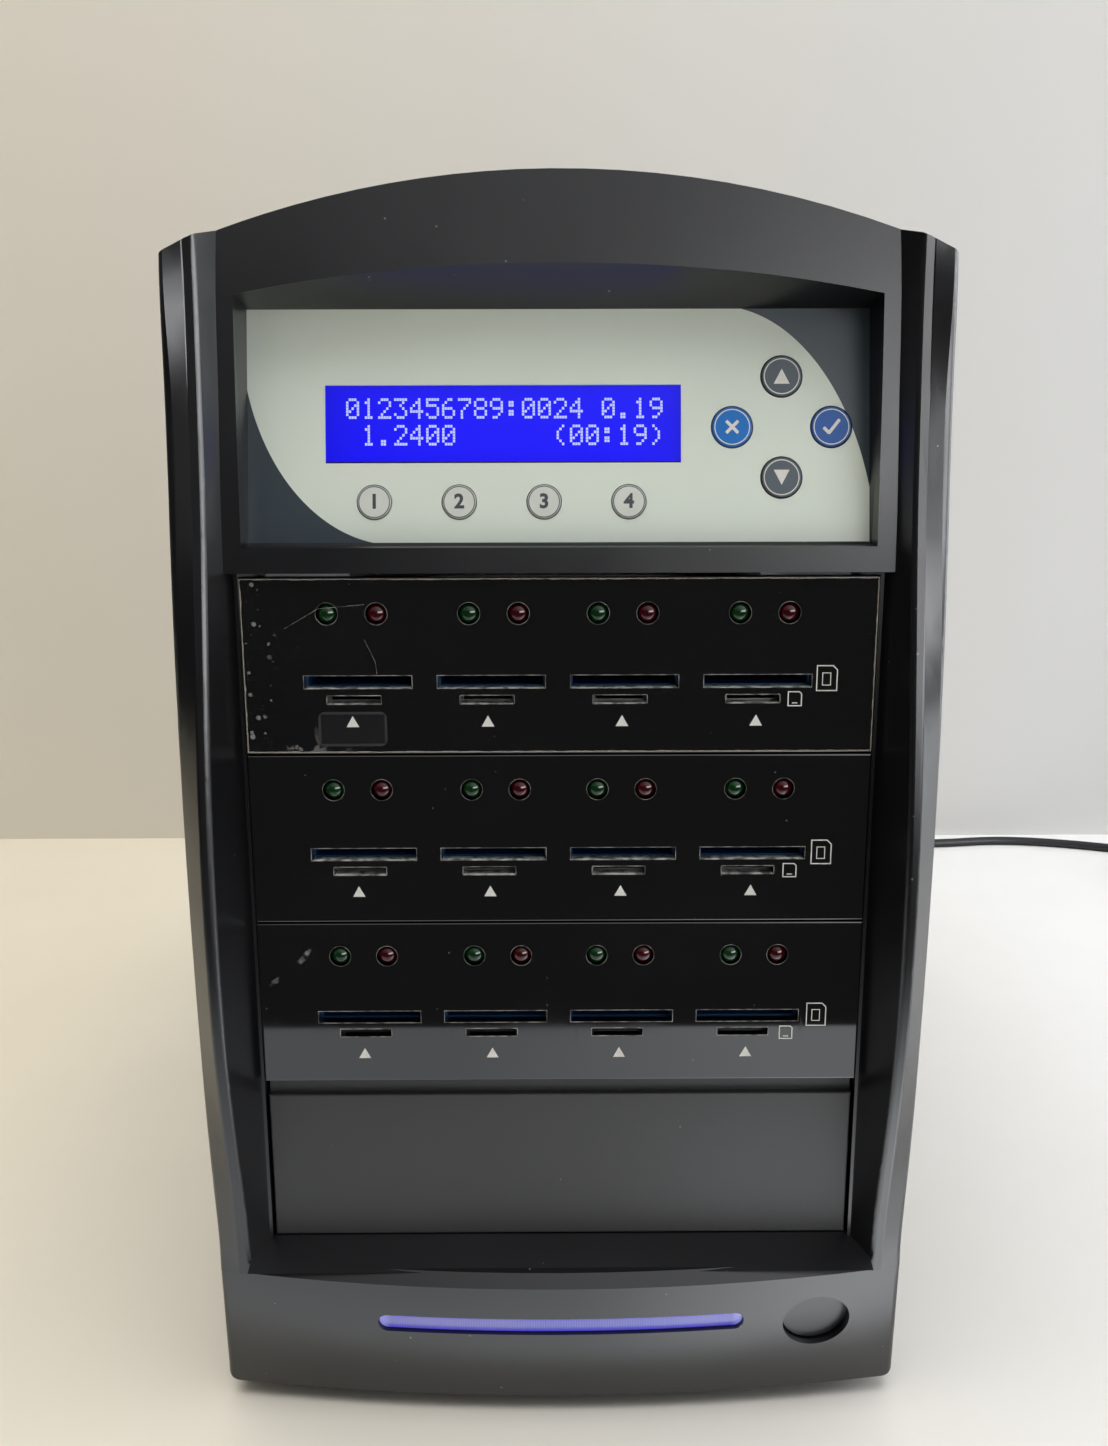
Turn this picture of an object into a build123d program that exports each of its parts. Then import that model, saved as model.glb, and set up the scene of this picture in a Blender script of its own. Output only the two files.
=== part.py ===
from build123d import *
from math import atan2, cos, degrees, hypot, pi, radians, sin, sqrt, tan
import os

os.makedirs("parts", exist_ok=True)

# All sizes are in millimetres. X runs to the right as the unit faces you, Y runs back and Z runs up.
# The front is drawn with y = 0 on the plane of the card panels. The pieces are moved back at the end
# so that the origin lies on the floor, midway between the front and the rear of the unit.

# How far a cut runs past its wall, how far a post runs into the wall that it stands on, and a place
# in front of the whole unit that cuts start from
overcut = 1.0
weld = 0.5
ahead = -40.0

# Overall size
overall_depth = 330.0
bezel_width = 175.4
foot_height = 10.0
chin_clearance = 5.0
rear_protrusion = 4.0

# Bay stack: half-height drive bays
bay_width = 148.5
bay_pitch = 42.3
panel_count = 3
stack_top = 216.3
panel_thickness = 3.0
panel_gap = 0.4
bay_side_clearance = 0.45
bay_top_clearance = 1.0

# Bezel moulding
bezel_back = 24.0
bezel_wall = 2.5
ridge_forward = 17.0
ridge_inset = 5.5
ridge_run = 4.1
bay_reveal = 0.8
pillar_inner_y = 1.5
pillar_top = 290.2
pillar_cap_drop = 3.2
crown_height = 305.8
arch_end_height = 292.8
header_front_low = -1.8
header_front_mid = 1.4
header_mid_height = 260.0
header_front_high = 7.2
chin_centre_low = -8.3
chin_centre_high = -12.0
chin_side_low = -1.5
chin_side_high = -3.4
lip_height = 38.8
lip_chamfer_height = 2.8
lip_chamfer_depth = 2.6
sill_rise = 3.2
sill_bite = 3.8
sill_root = (1.0, 0.4)
ledge_inset = 1.0
cap_start_inset = 0.6
header_bite = 2.3
ledge_bite = 1.0
sill_back = 2.5
lower_corner_radius = 3.0
outer_edge_radius = 1.8
shoulder_radius = 1.3
crease_radius = 0.9
cap_edge_radius = 1.2
bezel_clip = (2.0, 4.0, 10.0)
bezel_clip_inset = 3.0
bezel_clip_root = 8.0
bezel_clip_heights = (62.0, 250.0)
crown_pocket_corner = (70.5, 291.4)
crown_pocket_low = 285.5
crown_wall = 3.0

# Places across the bezel that its stations and openings share
half_width = bezel_width / 2
bay_half_width = bay_width / 2 + bay_side_clearance
pillar_inner_x = bay_half_width + bay_reveal
ridge_outer_x = half_width - ridge_inset
ridge_inner_x = pillar_inner_x + ridge_run
bezel_clip_x = pillar_inner_x + bezel_clip_inset

# Pillar stations: height, then how far behind the panel plane the outer edge, the ridge and the
# inner edge lie (negative is in front)
pillar_stations = [
    (lip_height, chin_side_high, -5.0, pillar_inner_y),
    (60.0, -4.6, -7.4, pillar_inner_y),
    (82.0, -6.7, -11.8, pillar_inner_y),
    (104.0, -7.9, -15.4, pillar_inner_y),
    (134.0, -9.0, -ridge_forward, pillar_inner_y),
    (164.0, -9.2, -15.4, pillar_inner_y),
    (196.0, -8.5, -11.0, pillar_inner_y),
    (226.0, -6.6, -6.4, pillar_inner_y),
    (258.0, -3.6, -3.0, 2.6),
    (arch_end_height + 1.0, 0.8, -0.6, 6.2),
]

# Window and the tilted control panel
window_half_width = 72.7
window_bottom = 223.1
window_corner_height = 278.9
window_arch_height = 285.9
window_front = 4.0
panel_tilt = 11.0
overlay_width = 144.7
overlay_height = 54.0
overlay_bottom_y = 4.8
overlay_bottom_z = 223.8
overlay_thickness = 0.6
overlay_edge = 0.7
pocket_clearance = 0.3
carrier_thickness = 2.0
carrier_lug = (6.0, 1.2, 2.0)
carrier_lug_shares = (0.25, 0.8)
seat_gap = 0.05

# Display, in the plane of the overlay: x, then height above the overlay's lower edge
display_centre = (-12.95, 27.5)
display_view = (82.8, 18.1)
display_window_border = 1.2
display_window_depth = 2.6
display_frame = (95.0, 24.4)
display_frame_depth = 9.0
display_board = (116.0, 37.0, 1.6)
display_post_spacing = (109.0, 30.0)
display_post_radius = 1.8

# Keys
round_key_diameter = 9.4
function_key_diameter = 7.8
key_gap = 0.25
key_proud = 0.35
key_crown_share = 0.7
key_flange = 0.6
key_flange_thickness = 0.8
key_stem_radius = 1.5
key_stem_play = 0.2
key_stem_entry = 0.6
key_switch = (6.0, 6.0, 3.5)
key_switch_bore_depth = 1.4
key_board_depth = 7.6
key_board_thickness = 1.6
key_board_size = (143.0, 53.0)
key_board_clearance = 0.5
key_board_post = (68.0, 4.0, 49.0)
key_frame_gap = 0.45
cancel_key_x = display_centre[0] + display_frame[0] / 2 + key_frame_gap + key_flange + round_key_diameter / 2
key_places = {
    "cancel_key": (cancel_key_x, 26.6, round_key_diameter),
    "confirm_key": (63.4, 26.6, round_key_diameter),
    "up_key": (51.8, 38.3, round_key_diameter),
    "down_key": (51.8, 14.9, round_key_diameter),
}
function_key_row = 9.4
function_key_first_x = -43.0
function_key_pitch = 19.75
function_key_names = ["function_key_one", "function_key_two", "function_key_three", "function_key_four"]
for order, name in enumerate(function_key_names):
    key_x = function_key_first_x + order * function_key_pitch
    key_places[name] = (key_x, function_key_row, function_key_diameter)

# Card panels
slot_first_x = -47.35
slot_pitch = 31.3
slots_per_panel = 4
sd_slot = (25.3, 3.0)
sd_drop = 24.6
micro_slot = (12.6, 1.9)
micro_shift = -1.05
panel_edge_radius = 0.4
led_diameter = 5.0
led_clearance = 0.2
led_drop = 8.5
led_proud = 0.4
led_body = 6.1
led_rim = (5.8, 1.0)
led_first_x = -54.1
led_pair_pitch = 33.0
led_group_pitch = 63.1
led_colour_pitch = 11.5
led_leg = 0.5
led_leg_spacing = 2.54
led_leg_length = 2.5

# Reader modules behind the panels
tray_width = 146.0
tray_depth = 100.0
tray_sheet = 1.0
tray_side_height = 22.0
tray_drop = 41.5
tray_screw_shares = (0.3, 0.75)
reader_board_size = (136.0, 92.0, 1.6)
reader_board_setback = 0.6
reader_post_radius = 2.2
reader_post_x = 64.0
reader_post_y = (12.0, 88.0)
sd_socket = (27.6, 29.0, 3.4)
sd_passage = (24.4, 26.0, 2.4)
micro_socket = (14.4, 15.4, 1.9)
micro_passage = (11.4, 14.0, 1.0)
socket_setback = 0.3
led_strip = (124.0, 1.2, 11.0)
led_strip_post = 2.5
ribbon_header = (22.0, 6.0, 5.0)

# Blank cover of the lowest bay
blank_recess = 2.5
blank_half_width = 74.1
blank_top_gap = 0.6
blank_face_drop = 4.2
blank_step = 2.0
blank_bottom_gap = 0.2
blank_wall = 2.0
blank_depth = 14.0
blank_lap = 1.0
blank_edge_radius = 0.5

# Light bar and power button in the chin
bar_length = 93.0
bar_height = 4.4
bar_centre_z = 27.0
bar_recess = 1.2
bar_back = 1.0
bar_clearance = 0.25
bar_flange = (96.5, 8.0)
bar_flange_back = -3.0
bar_flange_gap = 0.1
bar_board = (108.0, 1.6, 11.0)
bar_post_x = 51.5
bar_post_radius = 1.6
bar_post_root = -6.5
button_x = 65.9
button_z = 25.0
button_width = 16.8
button_height = 13.6
button_gap = 0.45
button_rim = 1.0
button_recess = 2.2
button_flange = 1.2
button_flange_range = (-1.5, 0.2)
button_stem_radius = 2.5
button_stem_play = 0.2
power_switch_size = (14.0, 12.0, 12.0)
power_switch_front = 8.0
power_switch_bore_depth = 4.2
button_stem_entry = 1.2
pedestal_inset = 1.0

# Steel case
case_width = 170.0
case_sheet = 1.0
case_top = 286.0
case_gap = 0.2
case_lower_flange = 14.0
bracket_depth = 135.0
bracket_gap = 0.2
bracket_sheet = 1.0
bracket_flange = 8.0
bracket_low = 40.0
bracket_foot = 20.0
bracket_window = ((45.0, 65.0), 12.0)
bracket_window_drop = 30.0
bracket_lightening = ((115.0, 150.0), (60.0, 195.0))
front_opening_margin = 0.5
chin_opening = (-64.0, 74.0)
chin_opening_margin = (3.0, 4.0)
window_opening_drop = 1.0
vent_slot = (3.0, 36.0)
vent_count = 12
vent_pitch = 9.0
vent_first_y = 170.0
vent_height = 236.0
rear_vent_slot = (110.0, 3.0)
rear_vent_count = 9
rear_vent_pitch = 9.0
rear_vent_low = 155.5

# Power supply
supply_width = 140.0
supply_height = 86.0
supply_depth = 140.0
supply_sheet = 1.0
supply_x = 2.0
supply_screw_inset = (3.0, 4.0)
supply_window_margin = (6.0, 1.2)
supply_board_size = (126.0, 92.0, 1.6)
supply_board_rise = 8.0
supply_vent = (4.0, 46.0)
supply_vent_count = 7
supply_vent_pitch = 15.0
supply_vent_drop = 10.0
supply_post_x = 55.0
supply_post_y = (14.0, 84.0)
supply_board_setback = 4.0
fan_margin = 3.0
fan_depth = 25.0
fan_x = -23.0
fan_wall = 2.0
fan_lip = 1.0
fan_hub = 34.0
fan_hub_depth = 19.0
fan_shaft_radius = 1.5
fan_shaft_play = 0.06
fan_motor_radius = 14.0
fan_tip_gap = 1.2
fan_blades = 7
fan_blade_thickness = 1.4
fan_blade_pitch_angle = 38.0
fan_blade_bow = 1.8
fan_hub_wall = 2.0
fan_corner_radius = 4.0
fan_hole_inset = 4.25
fan_strut = (4.0, 3.0)
fan_strut_turns = (35, 125, 215, 305)
fan_strut_bite = 1.0
fan_motor_gap = 1.5
fan_blade_setback = 4.0
fan_blade_lead = 1.0
fan_hub_gap = 0.8
fan_hub_edge_radius = 1.5
fan_shaft_floor = 1.0
fan_shaft_gap = 1.0
guard_wire = 1.6
guard_rings = 5
guard_gap = 0.3
guard_eye_radius = 3.1
guard_first_ring = 9.0
guard_spoke_bite = 0.6
inlet_x = 41.0
inlet_body = (27.0, 20.0)
inlet_flange = (48.0, 23.5, 2.0)
inlet_socket = (24.4, 16.8, 16.0)
inlet_floor = 3.0
inlet_corner = 4.5
pin_size = (2.0, 4.0, 13.0)
pin_spread = 7.0
pin_offset = 2.0
rocker_x = 41.0
rocker_frame_size = (21.0, 27.0, 1.8)
rocker_body = (17.0, 23.0, 14.0)
rocker_width = 12.6
rocker_half_height = 8.7
rocker_rise_ends = 6.0
rocker_rise_middle = 4.6
rocker_root = (3.0, 5.0)
rocker_angle = 12.0
rocker_pivot_depth = 5.5
rocker_pin_radius = 1.2
rocker_pin_play = 0.06
rocker_opening = (13.2, 20.6, 12.0)
rocker_pin_length = 15.2
rocker_pin_end_play = 0.2
rear_tab = (6.0, 0.8, 6.0)
rear_tab_pitch = 7.0
inlet_tab_width = 1.0

# Free heights under the inlet, between it and the rocker's frame, and above the frame. They share out
# what the supply's height leaves.
supply_gaps = (15.25, 8.75, 11.5)

# Blocks on the supply's board: X from its middle, depth range from its front edge, width, height
supply_blocks = [
    (-2.0, (34.0, 66.0), 36.0, 34.0),
    (-46.0, (10.0, 82.0), 4.0, 44.0),
    (34.0, (10.0, 82.0), 4.0, 44.0),
    (50.0, (62.0, 86.0), 16.0, 22.0),
]

# Round parts on the supply's board: X from its middle, distance from its front edge, radius, height
supply_cans = [
    (-18.0, 18.0, 11.0, 36.0),
    (12.0, 18.0, 11.0, 36.0),
    (-30.0, 76.0, 5.0, 20.0),
    (-16.0, 78.0, 5.0, 20.0),
]

# Controller board on its shelf
shelf_height = 116.0
shelf_flange = 9.0
controller_size = (124.0, 124.0, 1.6)
controller_front = 176.0
standoff_height = 6.0
standoff_radius = 2.8
standoff_inset = (5.0, 14.0)
heat_sink_size = (34.0, 34.0, 14.0)
heat_sink_fins = 9
heat_sink_base = 3.0
heat_sink_fin = 1.2
chip_height = 2.0
main_chip_size = 27.0
main_chip_place = (-10.0, 43.0)
memory_chip = (13.0, 1.6)
memory_first = (-42.0, 78.0)
memory_pitch = (20.0, 24.0)
memory_grid = (4, 2)
can_place = (44.0, 70.0)
can_pitch = 12.0
can_count = 4
can_size = (4.0, 11.0)
header_setback = 2.0
supply_header = (10.0, 9.0)
small_header_margin = (1.0, 3.0)

# Fasteners and feet
screw_radius = 1.5
screw_play = 0.05
screw_length = 5.0
screw_head = (2.9, 1.8)
screw_recess = (0.7, 3.2, 0.9)
screw_crown_share = 0.55
hole_play = 0.3
thumb_screw_head = (5.0, 3.0)
thumb_screw_notches = 18
thumb_screw_notch = 0.35
thumb_screw_slot = (0.6, 1.0)
thumb_screw_heights = (105.0, 270.0)
thumb_screw_inset = 6.0
cover_lip = 11.0
cover_lip_low = 90.0
foot_radius = (9.5, 8.0)
foot_x = 68.0
foot_inset = 22.0
foot_dish = (4.0, 2.0)

# Inner wiring
ribbon_thickness = 0.9
ribbon_width = 22.0
ribbon_places = (-37.0, -13.0, 11.0)
ribbon_drop_y = (150.0, 142.0, 134.0)
ribbon_bend = 6.0
panel_ribbon_x = 53.0
panel_ribbon_width = 14.0
panel_ribbon_start = 30.0
panel_ribbon_drop_y = 158.0
panel_ribbon_lean = 20.0
lead_radius = 1.5
lead_bend = 12.0
bar_lead_x = 31.0
button_lead_x = 37.0
lead_rise_y = (142.0, 132.0)
button_lead_runs = (30.0, 72.0)
supply_lead_radius = 3.0
supply_lead_x = -56.0
supply_lead_drop = 12.0
supply_lead_y = 148.0
supply_lead_end = 4.5
supply_lead_bend = 10.0

# Mains lead: a light round cord with a moulded connector and a three-pin plug
cord_radius = 2.5
connector_nose = (23.8, 16.2)
connector_play = 0.3
connector_gap = 1.0
connector_grip = (27.0, 19.4, 27.0)
connector_edge_radius = 2.2
connector_slot = (2.7, 4.7)
relief_length = 26.0
relief_radii = (6.2, 3.4)
cord_run_share = 0.45
coil_radii_in = (35.5, 32.75, 30.0, 27.25, 24.5)
coil_climb_radius = 21.75
coil_radii_out = (24.5, 27.25, 30.0, 32.75)
coil_last_radius = 41.0
coil_layer_rise = 5.6
neighbour_share = 8
plug_body = (31.0, 27.0, 16.0)
plug_relief = 20.0
plug_edge_radius = 3.0
plug_blade = (17.0, 1.5, 6.4)
plug_blade_spread = 6.35
plug_blade_drop = 1.5
plug_earth = (2.4, 20.0, 5.0)

# The lead's route past its first level run: X, the distance behind the connector, then the height
cord_first_run = 30.0
cord_route = [
    (48.0, 66.0, 20.0),
    (68.0, 101.0, 2.5),
    (110.0, 121.0, 2.5),
    (156.0, 118.0, 2.5),
    (198.0, 104.0, 2.5),
    (240.0, 102.0, 2.5),
    (279.0, 109.5, 2.5),
    (317.0, 102.5, 2.5),
    (353.0, 88.5, 2.5),
    (387.5, 71.9, 2.5),
]

# Derived places
panel_y = ridge_forward - overall_depth / 2
bay_opening_top = stack_top + bay_top_clearance
sill_height = lip_height + lip_chamfer_height
sill_back_height = sill_height + sill_rise
case_half_width = case_width / 2
rear_y = overall_depth - ridge_forward - rear_protrusion
cabin_rear = rear_y - case_sheet
cabin_front = bezel_back + case_sheet
case_floor = foot_height + case_sheet
tilt = radians(panel_tilt)
micro_drop = sd_drop + sd_socket[2] / 2 + reader_board_size[2] + micro_socket[2] / 2
board_drop = sd_drop + sd_socket[2] / 2
bracket_x = tray_width / 2 + bracket_gap
bracket_back = cabin_front + bracket_depth
supply_front = cabin_rear - supply_depth
supply_top = case_floor + supply_height
supply_centre_z = case_floor + supply_height / 2
supply_gap_scale = (supply_height - inlet_flange[1] - rocker_frame_size[1]) / sum(supply_gaps)
inlet_z = case_floor + supply_gaps[0] * supply_gap_scale + inlet_flange[1] / 2
rocker_z = supply_top - supply_gaps[2] * supply_gap_scale - rocker_frame_size[1] / 2
rocker_face_y = cabin_rear + rocker_frame_size[2]
supply_lead_z = supply_top - supply_lead_drop
fan_size = supply_height - 2 * fan_margin
fan_bore = fan_size - 2 * fan_wall
fan_wall_opening = fan_bore - 2 * fan_lip
fan_hole_pitch = fan_size - 2 * fan_hole_inset
guard_last_ring = fan_bore / 2
inlet_face = cabin_rear + inlet_flange[2]
socket_floor = inlet_face - inlet_socket[2]
carrier_back = overlay_thickness + carrier_thickness
controller_bottom = shelf_height + case_sheet + standoff_height
controller_top = controller_bottom + controller_size[2]
wiring_height = controller_top + ribbon_header[2] / 2
connector_end = inlet_face + connector_gap + connector_grip[2] + relief_length
lip_back = rear_y + case_sheet
guard_back = cabin_rear + guard_gap + guard_wire


def box(x_range, y_range, z_range):
    """A block between two corners."""
    size = [high - low for low, high in (x_range, y_range, z_range)]
    centre = [(high + low) / 2 for low, high in (x_range, y_range, z_range)]
    return Pos(*centre) * Box(*size)


def centred(centre, size):
    """The two ends of a length about its middle."""
    return (centre - size / 2, centre + size / 2)


def past(low, high):
    """A cut's range through a wall, a little longer than the wall is thick."""
    return (low - overcut, high + overcut)


def rod_y(x, z, radius, y_range):
    """A round bar along Y."""
    low, high = y_range
    return Pos(x, (low + high) / 2, z) * Rot(90, 0, 0) * Cylinder(radius, high - low)


def rod_x(y, z, radius, x_range):
    """A round bar along X."""
    low, high = x_range
    return Pos((low + high) / 2, y, z) * Rot(0, 90, 0) * Cylinder(radius, high - low)


def rod_z(x, y, radius, z_range):
    """A round bar along Z."""
    low, high = z_range
    return Pos(x, y, (low + high) / 2) * Cylinder(radius, high - low)


def front_plane(y):
    """A drawing plane that faces forward: across is X, up is Z."""
    return Plane(origin=(0, y, 0), x_dir=(1, 0, 0), z_dir=(0, -1, 0))


def side_plane(x):
    """A drawing plane that faces right: across is Y, up is Z."""
    return Plane(origin=(x, 0, 0), x_dir=(0, 1, 0), z_dir=(1, 0, 0))


def bar_between(face, y_range, x=0, z=0):
    """A flat shape drawn across X and up Z, pushed along Y between two places."""
    low, high = y_range
    return Pos(x, 0, z) * extrude(front_plane(high) * face, high - low, dir=(0, -1, 0))


def mirrored(shape):
    """The same shape on the other side of the unit."""
    return mirror(shape, about=Plane.YZ)


def union(shapes):
    """All the shapes as one body."""
    first, *rest = shapes
    return first + list(rest) if rest else first


def group(shapes):
    """Separate solids that share one node."""
    return Compound(children=[solid for shape in shapes for solid in shape.solids()])


def export(name, shape):
    """Write one node, moved to the unit's own origin."""
    solids = [Pos(0, panel_y, 0) * solid for solid in shape.solids()]
    export_step(Compound(children=solids) if len(solids) > 1 else solids[0], "parts/" + name + ".step")


# Front bezel


def near(vertex, x, y):
    """Whether a corner stands at one place in its drawing."""
    return hypot(vertex.X - x, vertex.Y - y) < 1e-4


def pillar_face(height, outer, ridge, inner, inset):
    """Plan section of the right pillar at one height."""
    points = [
        (half_width - inset, bezel_back),
        (half_width - inset, outer + inset),
        (ridge_outer_x, ridge + inset),
        (ridge_inner_x + inset / 4, ridge + inset),
        (pillar_inner_x + inset, inner + inset),
        (pillar_inner_x + inset, bezel_back),
    ]
    outline = make_face(Polyline(*points, close=True))
    if inset == 0:
        for (x, y), radius in zip(points[1:4], (outer_edge_radius, crease_radius, shoulder_radius)):
            outline = fillet([v for v in outline.vertices() if near(v, x, y)], radius)
    return Pos(0, 0, height) * outline


def chin_face(height, centre, side, inset):
    """Plan section of the bowed chin at one height."""
    reach = half_width - inset
    bow = ThreePointArc((-reach, side + inset), (0, centre + inset), (reach, side + inset))
    back = Polyline((reach, side + inset), (reach, bezel_back), (-reach, bezel_back), (-reach, side + inset))
    outline = make_face([bow, back])
    if inset == 0:
        outline = fillet([v for v in outline.vertices() if v.Y < bezel_back - 1], outer_edge_radius)
    return Pos(0, 0, height) * outline


def chin_block(inset):
    """The chin from its foot to its lip, drawn in by an even wall."""
    low = chin_face(chin_clearance, chin_centre_low, chin_side_low, inset)
    high = chin_face(lip_height, chin_centre_high, chin_side_high, inset)
    return loft([low, high], ruled=True)


def bezel_outline():
    """Front view of the whole bezel, with its arch, pillar caps and rounded lower corners."""
    cap_start = ridge_outer_x - cap_start_inset
    right = [
        (pillar_inner_x, arch_end_height),
        (cap_start, pillar_top),
        (half_width, pillar_top - pillar_cap_drop),
        (half_width, chin_clearance),
    ]
    left = [(-x, z) for x, z in reversed(right)]
    arch = ThreePointArc(left[-1], (0, crown_height), right[0])
    outline = make_face([Polyline(*right, *left), arch])
    outline = fillet([v for v in outline.vertices() if v.Y < chin_clearance + 1], lower_corner_radius)
    caps = [v for v in outline.vertices() if abs(v.X) > cap_start - 1 and v.Y > pillar_top - 10]
    return fillet(caps, cap_edge_radius)


def outline_trim():
    """All that lies outside the bezel's front view, to be cut away."""
    depth = (ahead, bezel_back + overcut)
    around = box(past(-half_width, half_width), depth, past(chin_clearance, crown_height))
    return around - bar_between(bezel_outline(), past(*depth))


def window_cut():
    """The arched window, which narrows to the tilted control panel."""
    corner = (window_half_width, window_corner_height)
    foot = (window_half_width, window_bottom)
    line = [
        Polyline((-corner[0], corner[1]), (-foot[0], foot[1]), foot, corner),
        ThreePointArc(corner, (0, window_arch_height), (-corner[0], corner[1])),
    ]
    front_face = front_plane(window_front) * make_face(line)
    mouth = extrude(front_face, window_front - ahead, dir=(0, -1, 0))
    half = overlay_width / 2
    rear_line = Polyline((-half, overlay_height), (-half, 0), (half, 0), (half, overlay_height), close=True)
    funnel = loft([front_face, overlay_plane * make_face(rear_line)], ruled=True)
    return mouth + funnel


def header_block():
    """The header and the crossbar before the window is cut."""
    low = (header_front_low, bay_opening_top)
    high = (header_front_high, crown_height)
    profile = [
        ThreePointArc(low, (header_front_mid, header_mid_height), high),
        Polyline(high, (bezel_back, crown_height), (bezel_back, bay_opening_top), low),
    ]
    reach = pillar_inner_x + header_bite
    return extrude(side_plane(-reach) * make_face(profile), 2 * reach)


def sill_block():
    """The sloping sill behind the lip, and the ledge under the lowest bay."""
    front = chin_centre_high + lip_chamfer_depth + sill_root[0]
    foot = sill_height - sill_root[1]
    profile = Polyline((front, foot), (sill_back, foot), (sill_back, sill_back_height), close=True)
    reach = pillar_inner_x + sill_bite
    sill = extrude(side_plane(-reach) * make_face(profile), 2 * reach)
    half = half_width - ledge_inset
    return sill + box((-half, half), (sill_back, bezel_back), (lip_height, sill_back_height))


def crown_pocket():
    """The hollow behind the arch of the header."""
    reach, shoulder = crown_pocket_corner
    low = crown_pocket_low
    line = [
        Polyline((-reach, shoulder), (-reach, low), (reach, low), (reach, shoulder)),
        ThreePointArc((reach, shoulder), (0, crown_height - crown_wall), (-reach, shoulder)),
    ]
    return bar_between(make_face(line), (header_front_high + crown_wall, bezel_back + overcut))


def panel_pocket():
    """The seat behind the window that holds the control panel."""
    half = overlay_width / 2 + overlay_edge + pocket_clearance
    edge = overlay_edge + pocket_clearance
    return on_overlay(box((-half, half), (-edge, overlay_height + edge), (ahead, 0)))


def carrier_lugs():
    """Small lugs that hold the control panel's carrier in its seat."""
    length, reach, thickness = carrier_lug
    half = overlay_width / 2 + overlay_edge + pocket_clearance
    depth = -(carrier_back + seat_gap)
    lugs = []
    for side in (-1, 1):
        for share in carrier_lug_shares:
            x_range = sorted((side * (half - reach), side * (half + weld)))
            along = centred(overlay_height * share, length)
            lugs.append(on_overlay(box(x_range, along, (depth - thickness, depth))))
    return lugs


def bezel_posts():
    """Inner posts of the chin: two for the light board and a pedestal for the power switch."""
    posts = [
        rod_y(side * bar_post_x, bar_centre_z, bar_post_radius, (bar_post_root, bar_back))
        for side in (-1, 1)
    ]
    switch_low = button_z - power_switch_size[2] / 2
    width, depth, _ = power_switch_size
    y_range = centred(power_switch_front + depth / 2, depth - 2 * pedestal_inset)
    z_range = (chin_clearance + weld, switch_low)
    posts.append(box(centred(button_x, width - 2 * pedestal_inset), y_range, z_range))
    return posts


def front_bezel():
    """One moulding: two pillars, the arched header, the crossbar and the bowed chin."""
    pillar = loft([pillar_face(*station, 0) for station in pillar_stations])
    hollow = loft([pillar_face(*station, bezel_wall) for station in pillar_stations])
    hollow_top = pillar_top - pillar_cap_drop - bezel_wall
    pillar = pillar - (hollow & box((0, half_width), (ahead, bezel_back), (lip_height, hollow_top)))

    high = chin_face(lip_height, chin_centre_high, chin_side_high, 0)
    lip = chin_face(sill_height, chin_centre_high + lip_chamfer_depth, chin_side_high + lip_chamfer_depth, 0)
    cavity = chin_block(bezel_wall) & box(
        (-half_width, half_width), (ahead, bezel_back), (chin_clearance + bezel_wall, lip_height)
    )
    chin = chin_block(0) + loft([high, lip], ruled=True) - cavity

    x_range = (bay_half_width, pillar_inner_x + ledge_bite)
    ledge = box(x_range, (pillar_inner_y, bezel_back), (sill_height, bay_opening_top))
    body = union([pillar, mirrored(pillar), chin, sill_block(), header_block(), ledge, mirrored(ledge)])

    throat = box(
        (-bay_half_width, bay_half_width), (ahead, bezel_back + overcut), (sill_back_height, bay_opening_top)
    )
    cuts = [outline_trim(), window_cut(), panel_pocket(), crown_pocket(), throat, light_bar_cut(), button_cut()]
    for cut in cuts:
        body = body - cut
    return union([body, button_collar()] + carrier_lugs() + bezel_posts() + bezel_clips(0))


def bezel_clips(play):
    """Clips that pass through the steel front plate, or their slots where there is play."""
    width, depth, length = bezel_clip
    reach = bezel_clip_root if play == 0 else bezel_back - overcut
    return [
        box(
            centred(side * bezel_clip_x, width + 2 * play),
            (reach, bezel_back + depth),
            centred(height, length + 2 * play),
        )
        for side in (-1, 1)
        for height in bezel_clip_heights
    ]


# Light bar and power button


def light_bar_cut():
    """Through slot of the light bar."""
    face = SlotOverall(bar_length + 2 * bar_clearance, bar_height + 2 * bar_clearance)
    return bar_between(face, (ahead, bezel_back + overcut), 0, bar_centre_z)


def light_bar():
    """Clear bar with round ends, which follows the bow of the chin."""
    bar = bar_between(SlotOverall(bar_length, bar_height), (ahead, bar_back), 0, bar_centre_z)
    flange = bar_between(Rectangle(*bar_flange), (ahead, bar_flange_back), 0, bar_centre_z)
    return (bar & chin_block(bar_recess)) + (flange & chin_block(bezel_wall + bar_flange_gap))


def light_bar_board():
    """Narrow board with a row of lamps behind the light bar."""
    length, thickness, height = bar_board
    return box(centred(0, length), (bar_back, bar_back + thickness), centred(bar_centre_z, height))


def button_cut():
    """Oval recess of the power button."""
    face = Ellipse(button_width / 2 + button_gap, button_height / 2 + button_gap)
    return bar_between(face, (ahead, bezel_back / 2), button_x, button_z)


def button_collar():
    """Oval wall behind the front that guides the button and stops its flange."""
    y_range = (ahead, button_flange_range[0] - seat_gap)
    width, height = button_width / 2 + button_gap, button_height / 2 + button_gap
    outer = bar_between(Ellipse(width + button_rim, height + button_rim), y_range, button_x, button_z)
    inner = bar_between(Ellipse(width, height), past(*y_range), button_x, button_z)
    return (outer & chin_block(bezel_wall - weld)) - inner


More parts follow.
